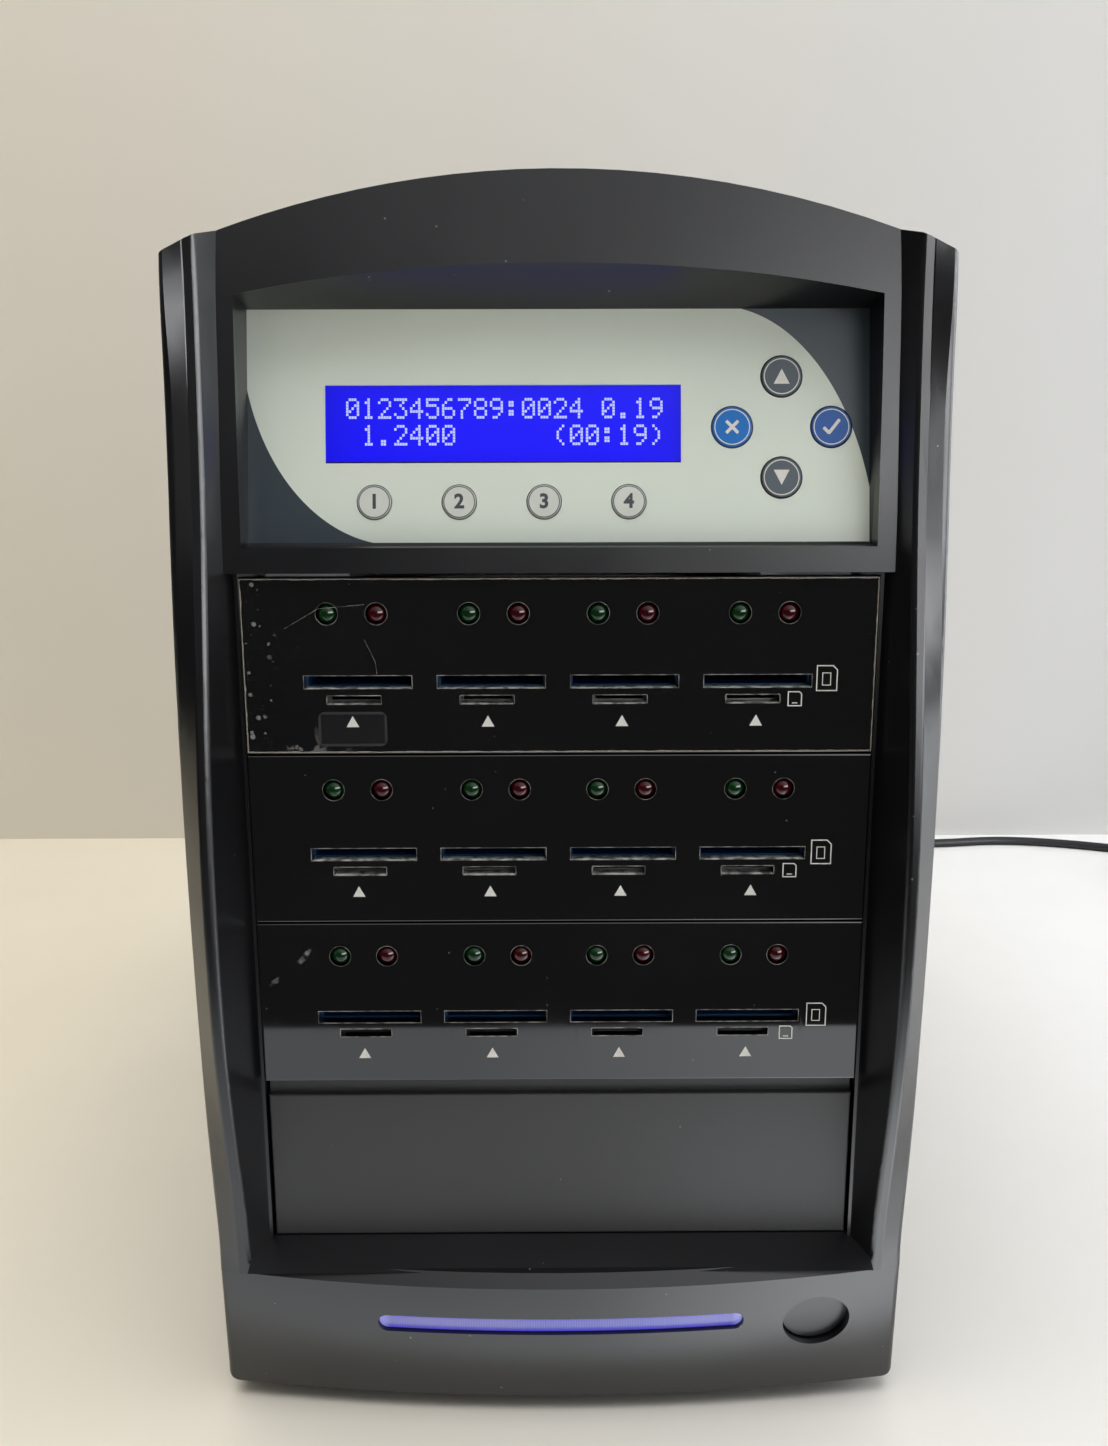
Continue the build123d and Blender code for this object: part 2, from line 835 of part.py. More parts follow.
def power_button():
    """Oval cap, its retaining flange and its stem."""
    cap = bar_between(
        Ellipse(button_width / 2, button_height / 2), (ahead, button_flange_range[1]), button_x, button_z
    )
    cap = cap & chin_block(button_recess)
    flange = bar_between(
        Ellipse(button_width / 2 + button_flange, button_height / 2 + button_flange),
        button_flange_range, button_x, button_z,
    )
    stem_end = power_switch_front + button_stem_entry
    stem = rod_y(button_x, button_z, button_stem_radius, (button_flange_range[1] - weld, stem_end))
    return cap + flange + stem


def power_switch():
    """Push switch body, with the bore that the button's stem enters."""
    width, depth, height = power_switch_size
    body = box(
        centred(button_x, width), (power_switch_front, power_switch_front + depth), centred(button_z, height)
    )
    bore = rod_y(
        button_x, button_z, button_stem_radius + button_stem_play,
        (power_switch_front - overcut, power_switch_front + power_switch_bore_depth),
    )
    return body - bore


# Control panel: everything here is drawn in the tilted plane, with z = 0 on the overlay's face


overlay_plane = Plane(
    origin=(0, overlay_bottom_y, overlay_bottom_z),
    x_dir=(1, 0, 0),
    z_dir=(0, -cos(tilt), sin(tilt)),
)


def on_overlay(shape):
    """Place a shape drawn in the control panel's own plane."""
    return overlay_plane.location * shape


def panel_sheet(z_range):
    """A sheet with the outline of the overlay."""
    half = overlay_width / 2 + overlay_edge
    return box((-half, half), (-overlay_edge, overlay_height + overlay_edge), z_range)


def display_opening(border, z_range):
    """The view of the display, with a border round it."""
    (x, y), (width, height) = display_centre, display_view
    return box(centred(x, width + 2 * border), centred(y, height + 2 * border), z_range)


def key_holes(z_range):
    """A round hole for each key."""
    return [rod_z(x, y, width / 2 + key_gap, z_range) for x, y, width in key_places.values()]


def panel_overlay():
    """Thin printed sheet with holes for the keys and the display."""
    z_range = past(-overlay_thickness, 0)
    sheet = panel_sheet((-overlay_thickness, 0)) - display_opening(0, z_range)
    return on_overlay(sheet - key_holes(z_range))


def display_posts():
    """Places of the posts that carry the display's board."""
    (x, y), (across, up) = display_centre, display_post_spacing
    return [(x + sx * across / 2, y + sy * up / 2) for sx in (-1, 1) for sy in (-1, 1)]


def panel_carrier():
    """Plate behind the overlay, with posts for the display's board and the key board."""
    z_range = past(-carrier_back, -overlay_thickness)
    plate = panel_sheet((-carrier_back, -overlay_thickness)) - key_holes(z_range)
    plate = plate - display_opening(display_window_border + hole_play, z_range)
    display_back = overlay_thickness + display_frame_depth
    posts = [
        rod_z(x, y, display_post_radius, (-display_back, -carrier_back + weld)) for x, y in display_posts()
    ]
    half, low, high = key_board_post
    posts += [
        rod_z(x, y, display_post_radius, (-key_board_depth, -carrier_back + weld))
        for x in (-half, half)
        for y in (low, high)
    ]
    return on_overlay(union([plate] + posts))


def lcd_screen():
    """Display glass in its metal frame."""
    window_back = -overlay_thickness - display_window_depth
    window = display_opening(display_window_border, (window_back, -overlay_thickness))
    (x, y), (width, height) = display_centre, display_frame
    frame_range = (-overlay_thickness - display_frame_depth, -carrier_back - seat_gap)
    frame = box(centred(x, width), centred(y, height), frame_range)
    return on_overlay(window + frame)


def lcd_board():
    """Circuit board behind the display."""
    (x, y), (width, height, thickness) = display_centre, display_board
    back = overlay_thickness + display_frame_depth
    return on_overlay(box(centred(x, width), centred(y, height), (-back - thickness, -back)))


def key_board():
    """Board that carries the key switches, cut away round the display."""
    width, height = key_board_size
    z_range = (-key_board_depth - key_board_thickness, -key_board_depth)
    board = box(centred(0, width), centred(overlay_height / 2, height), z_range)
    (x, y), (frame_width, frame_height) = display_centre, display_frame
    play = 2 * key_board_clearance
    opening = box(centred(x, frame_width + play), centred(y, frame_height + play), past(*z_range))
    holes = [rod_z(px, py, display_post_radius + hole_play, past(*z_range)) for px, py in display_posts()]
    return on_overlay(board - [opening] - holes)


def key_switches():
    """One small switch behind each key."""
    width, height, depth = key_switch
    switches = []
    for x, y, _ in key_places.values():
        body = box(centred(x, width), centred(y, height), (-key_board_depth, depth - key_board_depth))
        bore = rod_z(
            x, y, key_stem_radius + key_stem_play,
            (depth - key_board_depth - key_switch_bore_depth, 0),
        )
        switches.append(on_overlay(body - bore))
    return group(switches)


def key(x, y, width):
    """Cap, hidden flange and stem of one key."""
    flange_top = -carrier_back - seat_gap
    flange_low = flange_top - key_flange_thickness
    cap = rod_z(x, y, width / 2, (flange_low, key_proud))
    crown = [edge for edge in cap.edges() if edge.center().Z > 0]
    cap = fillet(crown, key_proud * key_crown_share)
    flange = rod_z(x, y, width / 2 + key_flange, (flange_low, flange_top))
    switch_face = key_switch[2] - key_board_depth
    stem = rod_z(x, y, key_stem_radius, (switch_face - key_stem_entry, flange_low + weld))
    return on_overlay(cap + flange + stem)


# Reader modules


def panel_top(index):
    """Height of the top of one card panel."""
    return stack_top - index * bay_pitch


def slot_centres():
    """Middle of each card slot across the panel."""
    return [slot_first_x + order * slot_pitch for order in range(slots_per_panel)]


def led_places():
    """Middle of each green lamp; the red one stands a fixed step to its right."""
    return [
        led_first_x + pair * led_pair_pitch + half * led_group_pitch for half in range(2) for pair in range(2)
    ]


def card_panel(top):
    """Gloss front with two rows of card slots and a row of lamp holes."""
    face = box(centred(0, bay_width), (0, panel_thickness), (top - bay_pitch + panel_gap, top))
    rim = [edge for edge in face.edges() if abs(edge.center().Y) < 1e-6]
    face = fillet(rim, panel_edge_radius)
    depth = past(0, panel_thickness)
    cuts = []
    for x in slot_centres():
        cuts.append(box(centred(x, sd_slot[0]), depth, centred(top - sd_drop, sd_slot[1])))
        cuts.append(box(centred(x + micro_shift, micro_slot[0]), depth, centred(top - micro_drop, micro_slot[1])))
    for x in led_places():
        for shift in (0, led_colour_pitch):
            cuts.append(rod_y(x + shift, top - led_drop, led_diameter / 2 + led_clearance, depth))
    return face - cuts


def led(x, z):
    """One round lamp with its rim and its two legs."""
    radius = led_diameter / 2
    dome_centre = radius - led_proud
    body = Pos(x, dome_centre, z) * Sphere(radius) + rod_y(x, z, radius, (dome_centre, led_body))
    rim_width, rim_depth = led_rim
    body = body + rod_y(x, z, rim_width / 2, (led_body - rim_depth, led_body))
    legs = [
        box(centred(x + side * led_leg_spacing / 2, led_leg), (led_body - weld, led_body + led_leg_length),
            centred(z, led_leg))
        for side in (-1, 1)
    ]
    return union([body] + legs)


def leds(shift):
    """All the lamps of one colour."""
    return group([
        led(x + shift, panel_top(index) - led_drop) for index in range(panel_count) for x in led_places()
    ])


def socket(size, passage, x, z, front):
    """Card socket that opens to the front."""
    width, depth, height = size
    body = box(centred(x, width), (front, front + depth), centred(z, height))
    return body - box(centred(x, passage[0]), (front - overcut, front + passage[1]), centred(z, passage[2]))


def card_sockets(size, passage, drop, shift):
    """One socket behind each slot of one size."""
    front = panel_thickness + socket_setback
    return group([
        socket(size, passage, x + shift, panel_top(index) - drop, front)
        for index in range(panel_count)
        for x in slot_centres()
    ])


def reader_board(top):
    """Reader board with its upright lamp strip and the header for its ribbon."""
    width, depth, thickness = reader_board_size
    front = panel_thickness + reader_board_setback
    board_top = top - board_drop
    board = box(centred(0, width), (front, front + depth), (board_top - thickness, board_top))
    length, strip_thickness, height = led_strip
    strip_front = led_body + led_leg_length
    strip_low = top - led_drop - height / 2
    strip = box(
        centred(0, length), (strip_front, strip_front + strip_thickness), (strip_low, strip_low + height)
    )
    gaps = [x + slot_pitch / 2 for x in slot_centres()[:-1]]
    y_range, z_range = (strip_front, strip_front + led_strip_post), (board_top - weld, strip_low + weld)
    posts = [box(centred(x, led_strip_post), y_range, z_range) for x in gaps]
    return union([board, strip] + posts)


def tray_screw_places(top):
    """Where the bay screws go in, along Y and Z."""
    z = top - tray_drop + tray_side_height / 2
    return [(panel_thickness + tray_depth * share, z) for share in tray_screw_shares]


def reader_tray(top):
    """Bent sheet tray that carries the panel and the reader board."""
    low = top - tray_drop
    y_range = (panel_thickness, panel_thickness + tray_depth)
    half = tray_width / 2
    floor = box((-half, half), y_range, (low, low + tray_sheet))
    sides = [
        box(x_range, y_range, (low, low + tray_side_height))
        for x_range in ((-half, tray_sheet - half), (half - tray_sheet, half))
    ]
    board_low = top - board_drop - reader_board_size[2]
    posts = [
        rod_z(side * reader_post_x, panel_thickness + y, reader_post_radius, (low + weld, board_low))
        for side in (-1, 1)
        for y in reader_post_y
    ]
    holes = [rod_x(y, z, screw_radius + screw_play, past(-half, half)) for y, z in tray_screw_places(top)]
    return union([floor] + sides + posts) - holes


def bay_blank():
    """Plain cover of the empty bay: a stepped face with a shallow box behind it."""
    top = panel_top(panel_count) - blank_top_gap
    low = sill_back_height + blank_bottom_gap
    face_top = top - blank_face_drop
    half = blank_half_width
    face = box((-half, half), (blank_recess, blank_recess + blank_wall), (low, face_top))
    rim = [edge for edge in face.edges() if abs(edge.center().Y - blank_recess) < 1e-6]
    face = fillet(rim, blank_edge_radius)
    step_y = blank_recess + blank_step
    step = box((-half, half), (step_y, step_y + blank_wall), (face_top - blank_lap, top))
    back = blank_recess + blank_depth
    shell = box((-half, half), (blank_recess + blank_lap, back), (low, top))
    hollow = box(
        (blank_wall - half, half - blank_wall), (blank_recess, back + overcut), (low + blank_wall, top - blank_wall)
    )
    above = box(past(-half, half), (0, step_y), (face_top, top + overcut))
    return union([face, step, shell - hollow - above])


# Steel case


def front_openings():
    """Openings of the steel front plate."""
    y_range = past(bezel_back, cabin_front)
    half = bay_half_width + front_opening_margin
    bays = box((-half, half), y_range, (sill_back_height, bay_opening_top))
    low, high = chin_opening_margin
    chin = box(chin_opening, y_range, (case_floor + low, lip_height - high))
    window = box((-half, half), y_range, (window_bottom, window_corner_height - window_opening_drop))
    return [bays, chin, window] + bezel_clips(hole_play)


def supply_corners():
    """Corner screws of the power supply on the rear plate."""
    half = supply_width / 2 - supply_screw_inset[0]
    rise = supply_height / 2 - supply_screw_inset[1]
    return [(supply_x + sx * half, supply_centre_z + sz * rise) for sx in (-1, 1) for sz in (-1, 1)]


def fan_corners():
    """Corner holes of the fan."""
    half = fan_hole_pitch / 2
    return [(fan_x + sx * half, supply_centre_z + sz * half) for sx in (-1, 1) for sz in (-1, 1)]


def cover_screw_places():
    """Thumb screws at the rear edge of the cover."""
    half = case_half_width - thumb_screw_inset
    return [(side * half, z) for side in (-1, 1) for z in thumb_screw_heights]


def chassis_frame():
    """Floor, front plate, rear plate and low side flanges, bent from one sheet."""
    half = case_half_width - case_sheet
    roof = case_top - case_sheet
    floor = box((-half, half), (bezel_back, rear_y), (foot_height, case_floor))
    front = box((-half, half), (bezel_back, cabin_front), (foot_height, roof))
    rear = box((-half, half), (cabin_rear, rear_y), (foot_height, roof))
    sides = [
        box(x_range, (bezel_back, rear_y), (foot_height, foot_height + case_lower_flange))
        for x_range in ((-half, case_sheet - half), (half - case_sheet, half))
    ]
    body = union([floor, front, rear] + sides) - front_openings()
    supply_window = box(
        centred(supply_x, supply_width - 2 * supply_window_margin[0]), past(cabin_rear, rear_y),
        centred(supply_centre_z, supply_height - 2 * supply_window_margin[1]),
    )
    body = body - supply_window
    through = past(cabin_rear, rear_y)
    vents = [
        bar_between(SlotOverall(*rear_vent_slot), through, 0, rear_vent_low + order * rear_vent_pitch)
        for order in range(rear_vent_count)
    ]
    holes = [rod_y(x, z, screw_radius + hole_play, through) for x, z in supply_corners()]
    holes += [rod_y(x, z, screw_radius + screw_play, through) for x, z in cover_screw_places()]
    return body - vents - holes


def case_cover():
    """Top and sides of the case, bent from one sheet, with a narrow rear lip."""
    front = bezel_back + case_gap
    outer = case_half_width
    inner = outer - case_sheet
    top = box((-outer, outer), (front, rear_y), (case_top - case_sheet, case_top))
    sides = [
        box(x_range, (front, rear_y), (foot_height, case_top)) for x_range in ((-outer, -inner), (inner, outer))
    ]
    lips = [
        box(x_range, (rear_y, lip_back), (cover_lip_low, case_top))
        for x_range in ((-outer, cover_lip - outer), (outer - cover_lip, outer))
    ]
    lips.append(box((-outer, outer), (rear_y, lip_back), (case_top - cover_lip, case_top)))
    body = union([top] + sides + lips)
    width, height = vent_slot
    vents = [
        Pos(0, vent_first_y + order * vent_pitch, vent_height) * Box(case_width + 2 * overcut, width, height)
        for order in range(vent_count)
    ]
    holes = [rod_y(x, z, screw_radius + hole_play, past(rear_y, lip_back)) for x, z in cover_screw_places()]
    return body - vents - holes


def bay_bracket():
    """Right side plate that carries the reader trays, with a front flange."""
    plate_x = (bracket_x, bracket_x + bracket_sheet)
    cut_x = past(*plate_x)
    plate = box(plate_x, (cabin_front, bracket_back), (bracket_low, bay_opening_top))
    flange = box(
        (bracket_x, bracket_x + bracket_sheet + bracket_flange), (cabin_front, cabin_front + bracket_sheet),
        (bracket_low, bay_opening_top),
    )
    holes = [
        rod_x(y, z, screw_radius + hole_play, cut_x)
        for index in range(panel_count)
        for y, z in tray_screw_places(panel_top(index))
    ]
    windows = [
        box(cut_x, bracket_window[0], centred(panel_top(index) - bracket_window_drop, bracket_window[1]))
        for index in range(panel_count)
    ]
    foot = box(plate_x, (bracket_back - bracket_foot, bracket_back), (case_floor, bracket_low))
    lightening = box(cut_x, *bracket_lightening)
    return union([plate, flange, foot]) - holes - windows - [lightening] - bezel_clips(hole_play)


def board_shelf():
    """Shelf for the controller board, between the brackets and the rear plate."""
    half = case_half_width - 2 * case_sheet - case_gap
    shelf = box((-half, half), (bracket_back, cabin_rear), (shelf_height, shelf_height + case_sheet))
    flanges = [
        box(x_range, (bracket_back, cabin_rear), (shelf_height - shelf_flange, shelf_height + case_sheet))
        for x_range in ((-half, case_sheet - half), (half - case_sheet, half))
    ]
    front = box(
        (-half, half), (bracket_back, bracket_back + case_sheet), (shelf_height - shelf_flange, shelf_height)
    )
    z_range = past(shelf_height, shelf_height + case_sheet)
    holes = [rod_z(x, y, screw_radius + screw_play, z_range) for x, y in standoff_places()]
    return union([shelf, front] + flanges) - holes


# Controller board


def standoff_places():
    """Corner standoffs of the controller board."""
    half = controller_size[0] / 2 - standoff_inset[0]
    rear = controller_front + controller_size[1] - standoff_inset[1]
    return [(sx * half, y) for sx in (-1, 1) for y in (controller_front + standoff_inset[1], rear)]


def standoffs():
    """Short threaded posts under the controller board."""
    z_range = (shelf_height + case_sheet, controller_bottom)
    return group([
        rod_z(x, y, standoff_radius, z_range)
        - rod_z(x, y, screw_radius + screw_play, past(*z_range))
        for x, y in standoff_places()
    ])


def controller_board():
    """Main circuit board."""
    width, depth, _ = controller_size
    z_range = (controller_bottom, controller_top)
    board = box(centred(0, width), (controller_front, controller_front + depth), z_range)
    return board - [rod_z(x, y, screw_radius + hole_play, past(*z_range)) for x, y in standoff_places()]


def controller_parts():
    """Chips, capacitors and headers on the controller board."""
    rise, front = controller_top, controller_front
    width, depth, height = ribbon_header
    y_range = (front + header_setback, front + header_setback + depth)
    blocks = [box(centred(x, width), y_range, (rise, rise + height)) for x in ribbon_places]
    chip, chip_rise = memory_chip
    for column in range(memory_grid[0]):
        for row in range(memory_grid[1]):
            x, y = memory_first[0] + column * memory_pitch[0], memory_first[1] + row * memory_pitch[1]
            blocks.append(box(centred(x, chip), centred(front + y, chip), (rise, rise + chip_rise)))
    radius, can_rise = can_size
    for order in range(can_count):
        y = front + can_place[1] + order * can_pitch
        blocks.append(rod_z(can_place[0], y, radius, (rise, rise + can_rise)))
    ribbon_margin, lead_margin = small_header_margin
    headers = [
        (centred(supply_lead_x, supply_header[0]), supply_header[1]),
        (centred(panel_ribbon_x, panel_ribbon_width + 2 * ribbon_margin), height),
        ((bar_lead_x - lead_margin, button_lead_x + lead_margin), height),
    ]
    blocks += [box(x_range, y_range, (rise, rise + tall)) for x_range, tall in headers]
    x, y = main_chip_place
    blocks.append(box(centred(x, main_chip_size), centred(front + y, main_chip_size), (rise, rise + chip_height)))
    return group(blocks)


def heat_sink():
    """Finned block on the main chip."""
    width, depth, height = heat_sink_size
    x, y = main_chip_place
    y_range = centred(controller_front + y, depth)
    low = controller_top + chip_height
    base = box(centred(x, width), y_range, (low, low + heat_sink_base))
    step = (width - heat_sink_fin) / (heat_sink_fins - 1)
    first = x - width / 2
    fins = [
        box((first + order * step, first + order * step + heat_sink_fin), y_range, (low, low + height))
        for order in range(heat_sink_fins)
    ]
    return union([base] + fins)


# Power supply


def supply_case():
    """Steel box of the power supply, open where its fan, inlet and switch show."""
    x_range = centred(supply_x, supply_width)
    outer = box(x_range, (supply_front, cabin_rear), (case_floor, supply_top))
    inner = box(
        centred(supply_x, supply_width - 2 * supply_sheet),
        (supply_front + supply_sheet, cabin_rear - supply_sheet),
        (case_floor + supply_sheet, supply_top - supply_sheet),
    )
    rear = past(cabin_rear - supply_sheet, cabin_rear)
    front = past(supply_front, supply_front + supply_sheet)
    play = 2 * hole_play
    cuts = [
        rod_y(fan_x, supply_centre_z, fan_wall_opening / 2, rear),
        box(centred(inlet_x, inlet_body[0] + play), rear, centred(inlet_z, inlet_body[1] + play)),
        box(centred(rocker_x, rocker_body[0] + play), rear, centred(rocker_z, rocker_body[1] + play)),
        rod_y(supply_lead_x, supply_lead_z, supply_lead_radius + hole_play, front),
    ]
    cuts += [rod_y(x, z, screw_radius + screw_play, rear) for x, z in supply_corners() + fan_corners()]
    width, height = supply_vent
    for order in range(supply_vent_count):
        x = supply_x + (order - (supply_vent_count - 1) / 2) * supply_vent_pitch
        cuts.append(box(centred(x, width), front, centred(supply_centre_z - supply_vent_drop, height)))
    z_range = (case_floor + weld, case_floor + supply_board_rise)
    posts = [
        rod_z(supply_x + side * supply_post_x, supply_front + y, reader_post_radius, z_range)
        for side in (-1, 1)
        for y in supply_post_y
    ]
    return union([outer - inner] + posts) - cuts


def supply_board():
    """Board of the power supply with its transformer, capacitors, choke and two heat sinks."""
    width, depth, thickness = supply_board_size
    low = case_floor + supply_board_rise
    top = low + thickness
    front = supply_front + supply_board_setback
    base = box(centred(supply_x, width), (front, front + depth), (low, top))
    tall = [
        box(centred(supply_x + x, across), (front + near_edge, front + far_edge), (top, top + height))
        for x, (near_edge, far_edge), across, height in supply_blocks
    ]
    tall += [rod_z(supply_x + x, front + y, radius, (top, top + height)) for x, y, radius, height in supply_cans]
    return union([base] + tall)


# Fan


def fan_at(shape):
    """Place a shape drawn about the fan's axis, with y = 0 at the fan's rear face."""
    return Pos(fan_x, cabin_rear - supply_sheet, supply_centre_z) * shape


def fan_frame():
    """Square frame with its round duct, the struts and the motor's fixed base."""
    half = fan_size / 2
    frame = box((-half, half), (-fan_depth, 0), (-half, half))
    frame = fillet(frame.edges().filter_by(Axis.Y), fan_corner_radius)
    through = past(-fan_depth, 0)
    frame = frame - rod_y(0, 0, fan_bore / 2, through)
    holes = [
        rod_y(sx * fan_hole_pitch / 2, sz * fan_hole_pitch / 2, screw_radius + screw_play, through)
        for sx in (-1, 1)
        for sz in (-1, 1)
    ]
    width, thickness = fan_strut
    base = rod_y(0, 0, fan_hub / 2, (-thickness, 0))
    strut = box((fan_hub / 2 - fan_strut_bite, fan_bore / 2 + fan_strut_bite), (-thickness, 0), centred(0, width))
    struts = [Rot(0, turn, 0) * strut for turn in fan_strut_turns]
    motor = rod_y(0, 0, fan_motor_radius, (fan_motor_gap - fan_hub_depth, 0))
    bearing = rod_y(0, 0, fan_shaft_radius + fan_shaft_play, (-fan_depth, -fan_shaft_floor))
    return fan_at(union([frame - holes, base, motor] + struts) - bearing)


def fan_blade():
    """One curved blade that leans along the fan's axis."""
    length = fan_hub_depth - fan_blade_setback
    drop = length * tan(radians(fan_blade_pitch_angle))
    bow = fan_blade_bow
    start, middle, end = (0, 0), (length / 2, drop / 2 - bow), (length, drop)
    thick = fan_blade_thickness
    line = [
        ThreePointArc(start, middle, end),
        Polyline(end, (end[0], end[1] + thick)),
        ThreePointArc((end[0], end[1] + thick), (middle[0], middle[1] + thick), (0, thick)),
        Polyline((0, thick), start),
    ]
    start_y = -fan_hub_depth - fan_blade_lead
    face = Plane(origin=(0, start_y, -drop / 2), x_dir=(0, 1, 0), z_dir=(1, 0, 0)) * make_face(line)
    blade = extrude(face, fan_bore / 2, dir=(1, 0, 0))
    depth = past(start_y, 0)
    ring = rod_y(0, 0, fan_bore / 2 - fan_tip_gap, depth) - rod_y(0, 0, fan_hub / 2 - weld, past(*depth))
    return blade & ring


def fan_rotor():
    """Hub cup with its shaft and curved blades."""
    front = -fan_hub_depth - fan_hub_wall
    back = -fan_strut[1] - fan_hub_gap
    hub = rod_y(0, 0, fan_hub / 2, (front, back))
    hub = fillet(hub.edges().sort_by(Axis.Y)[0], fan_hub_edge_radius)
    hub = hub - rod_y(0, 0, fan_hub / 2 - fan_hub_wall, (-fan_hub_depth, back + overcut))
    shaft = rod_y(0, 0, fan_shaft_radius, (-fan_hub_depth - weld, -fan_shaft_floor - fan_shaft_gap))
    blade = fan_blade()
    blades = [Rot(0, order * 360 / fan_blades, 0) * blade for order in range(fan_blades)]
    return fan_at(union([hub, shaft] + blades))


def fan_guard():
    """Wire guard: rings on two crossed wires with a flat eye at each corner."""
    wire = guard_wire / 2
    step = (guard_last_ring - guard_first_ring) / (guard_rings - 1)
    plane_y = cabin_rear + guard_gap + wire
    rings = [
        Pos(fan_x, plane_y, supply_centre_z) * Rot(90, 0, 0) * Torus(guard_first_ring + order * step, wire)
        for order in range(guard_rings)
    ]
    reach = fan_hole_pitch / sqrt(2) - guard_eye_radius + guard_spoke_bite
    spokes = [
        Pos(fan_x, plane_y, supply_centre_z) * Rot(0, turn, 0) * Rot(0, 90, 0) * Cylinder(wire, 2 * reach)
        for turn in (45, 135)
    ]
    eyes = [rod_y(x, z, guard_eye_radius, (cabin_rear, guard_back)) for x, z in fan_corners()]
    holes = [rod_y(x, z, screw_radius + hole_play, past(cabin_rear, guard_back)) for x, z in fan_corners()]
    return union(eyes + spokes + rings) - holes


# Mains inlet and rocker switch


def chamfered(width, height, cut):
    """Rectangle with its two upper corners cut off."""
    x, z = width / 2, height / 2
    corners = [(-x, -z), (x, -z), (x, z - cut), (x - cut, z), (cut - x, z), (-x, z - cut)]
    return make_face(Polyline(*corners, close=True))


def pin_places():
    """Places of the three pins about the inlet's axis."""
    return [(-pin_spread, -pin_offset), (0, pin_offset), (pin_spread, -pin_offset)]


def mains_inlet():
    """Appliance inlet with its flange, its three pins and the tabs behind."""
    width, height, thickness = inlet_flange
    flange = box(centred(0, width), (cabin_rear, inlet_face), centred(0, height))
    body = box(centred(0, inlet_body[0]), (socket_floor - inlet_floor, cabin_rear), centred(0, inlet_body[1]))
    mouth = bar_between(
        chamfered(inlet_socket[0], inlet_socket[1], inlet_corner), (socket_floor, inlet_face + overcut)
    )
    across, up, length = pin_size
    y_range = (socket_floor - weld, socket_floor + length)
    pins = [box(centred(x, across), y_range, centred(z, up)) for x, z in pin_places()]
    back = socket_floor - inlet_floor
    y_range = (back - rear_tab[2], back + weld)
    tabs = [box(centred(x, inlet_tab_width), y_range, centred(z, up)) for x, z in pin_places()]
    return Pos(inlet_x, 0, inlet_z) * union([flange + body - mouth] + pins + tabs)


def rocker_frame():
    """Snap-in frame of the rocker switch with its three tabs."""
    width, height, _ = rocker_frame_size
    face_y, back = rocker_face_y, cabin_rear - rocker_body[2]
    flange = box(centred(0, width), (cabin_rear, face_y), centred(0, height))
    body = box(centred(0, rocker_body[0]), (back, cabin_rear), centred(0, rocker_body[1]))
    across, up, depth = rocker_opening
    well = box(centred(0, across), (face_y - depth, face_y + overcut), centred(0, up))
    pivot_length = rocker_pin_length + 2 * rocker_pin_end_play
    pivot = rod_x(face_y - rocker_pivot_depth, 0, rocker_pin_radius + rocker_pin_play, centred(0, pivot_length))
    tab_width, tab_thickness, tab_length = rear_tab
    tabs = [
        box(centred(0, tab_width), (back - tab_length, back + weld), centred(z, tab_thickness))
        for z in (-rear_tab_pitch, 0, rear_tab_pitch)
    ]
    return Pos(rocker_x, 0, rocker_z) * (union([flange + body - well] + tabs) - pivot)


def mains_rocker():
    """Rocker with a shallow valley across its face, tilted with its upper end pressed in."""
    ends, middle = rocker_rise_ends, rocker_rise_middle
    half = rocker_half_height
    root, root_half = rocker_root
    profile = Polyline(
        (-root, -root_half), (ends, -half), (middle, 0), (ends, half), (-root, root_half), close=True
    )
    body = extrude(side_plane(-rocker_width / 2) * make_face(profile), rocker_width, dir=(1, 0, 0))
    pin = rod_x(0, 0, rocker_pin_radius, centred(0, rocker_pin_length))
    body = Rot(rocker_angle, 0, 0) * (body + pin)
    return Pos(rocker_x, rocker_face_y - rocker_pivot_depth, rocker_z) * body


# Fasteners and feet


def pan_screw():
    """Pan-head screw that points along -Z, with its head's underside at z = 0."""
    head_radius, head_height = screw_head
    head = rod_z(0, 0, head_radius, (0, head_height))
    head = fillet(head.edges().sort_by(Axis.Z)[-1], head_height * screw_crown_share)
    shank = rod_z(0, 0, screw_radius, (-screw_length, weld))
    width, length, depth = screw_recess
    recess = Box(width, length, 2 * depth) + Box(length, width, 2 * depth)
    return head + shank - Pos(0, 0, head_height) * recess


def pan_screws():
    """Bay screws, board screws, supply screws and guard screws."""
    screw = pan_screw()
    outer = bracket_x + bracket_sheet
    placed = []
    for index in range(panel_count):
        for y, z in tray_screw_places(panel_top(index)):
            placed.append(Pos(outer, y, z) * Rot(0, 90, 0) * screw)
            placed.append(Pos(-outer, y, z) * Rot(0, -90, 0) * screw)
    placed += [Pos(x, y, controller_top) * screw for x, y in standoff_places()]
    placed += [Pos(x, rear_y, z) * Rot(-90, 0, 0) * screw for x, z in supply_corners()]
    placed += [Pos(x, guard_back, z) * Rot(-90, 0, 0) * screw for x, z in fan_corners()]
    return group(placed)


def thumb_screw():
    """Knurled thumb screw that points along -Z, with a driver slot."""
    radius, height = thumb_screw_head
    head = rod_z(0, 0, radius, (0, height))
    cut = thumb_screw_notch
    notch = box((radius - cut, radius + overcut), (-cut, cut), past(0, height))
    head = head - [Rot(0, 0, order * 360 / thumb_screw_notches) * notch for order in range(thumb_screw_notches)]
    slot_half, slot_depth = thumb_screw_slot
    slot = box(past(-radius, radius), (-slot_half, slot_half), (height - slot_depth, height + overcut))
    shank = rod_z(0, 0, screw_radius, (-screw_length, weld))
    return head - slot + shank


def cover_screws():
    """Thumb screws that hold the cover's rear lip."""
    screw = thumb_screw()
    return group([Pos(x, lip_back, z) * Rot(-90, 0, 0) * screw for x, z in cover_screw_places()])


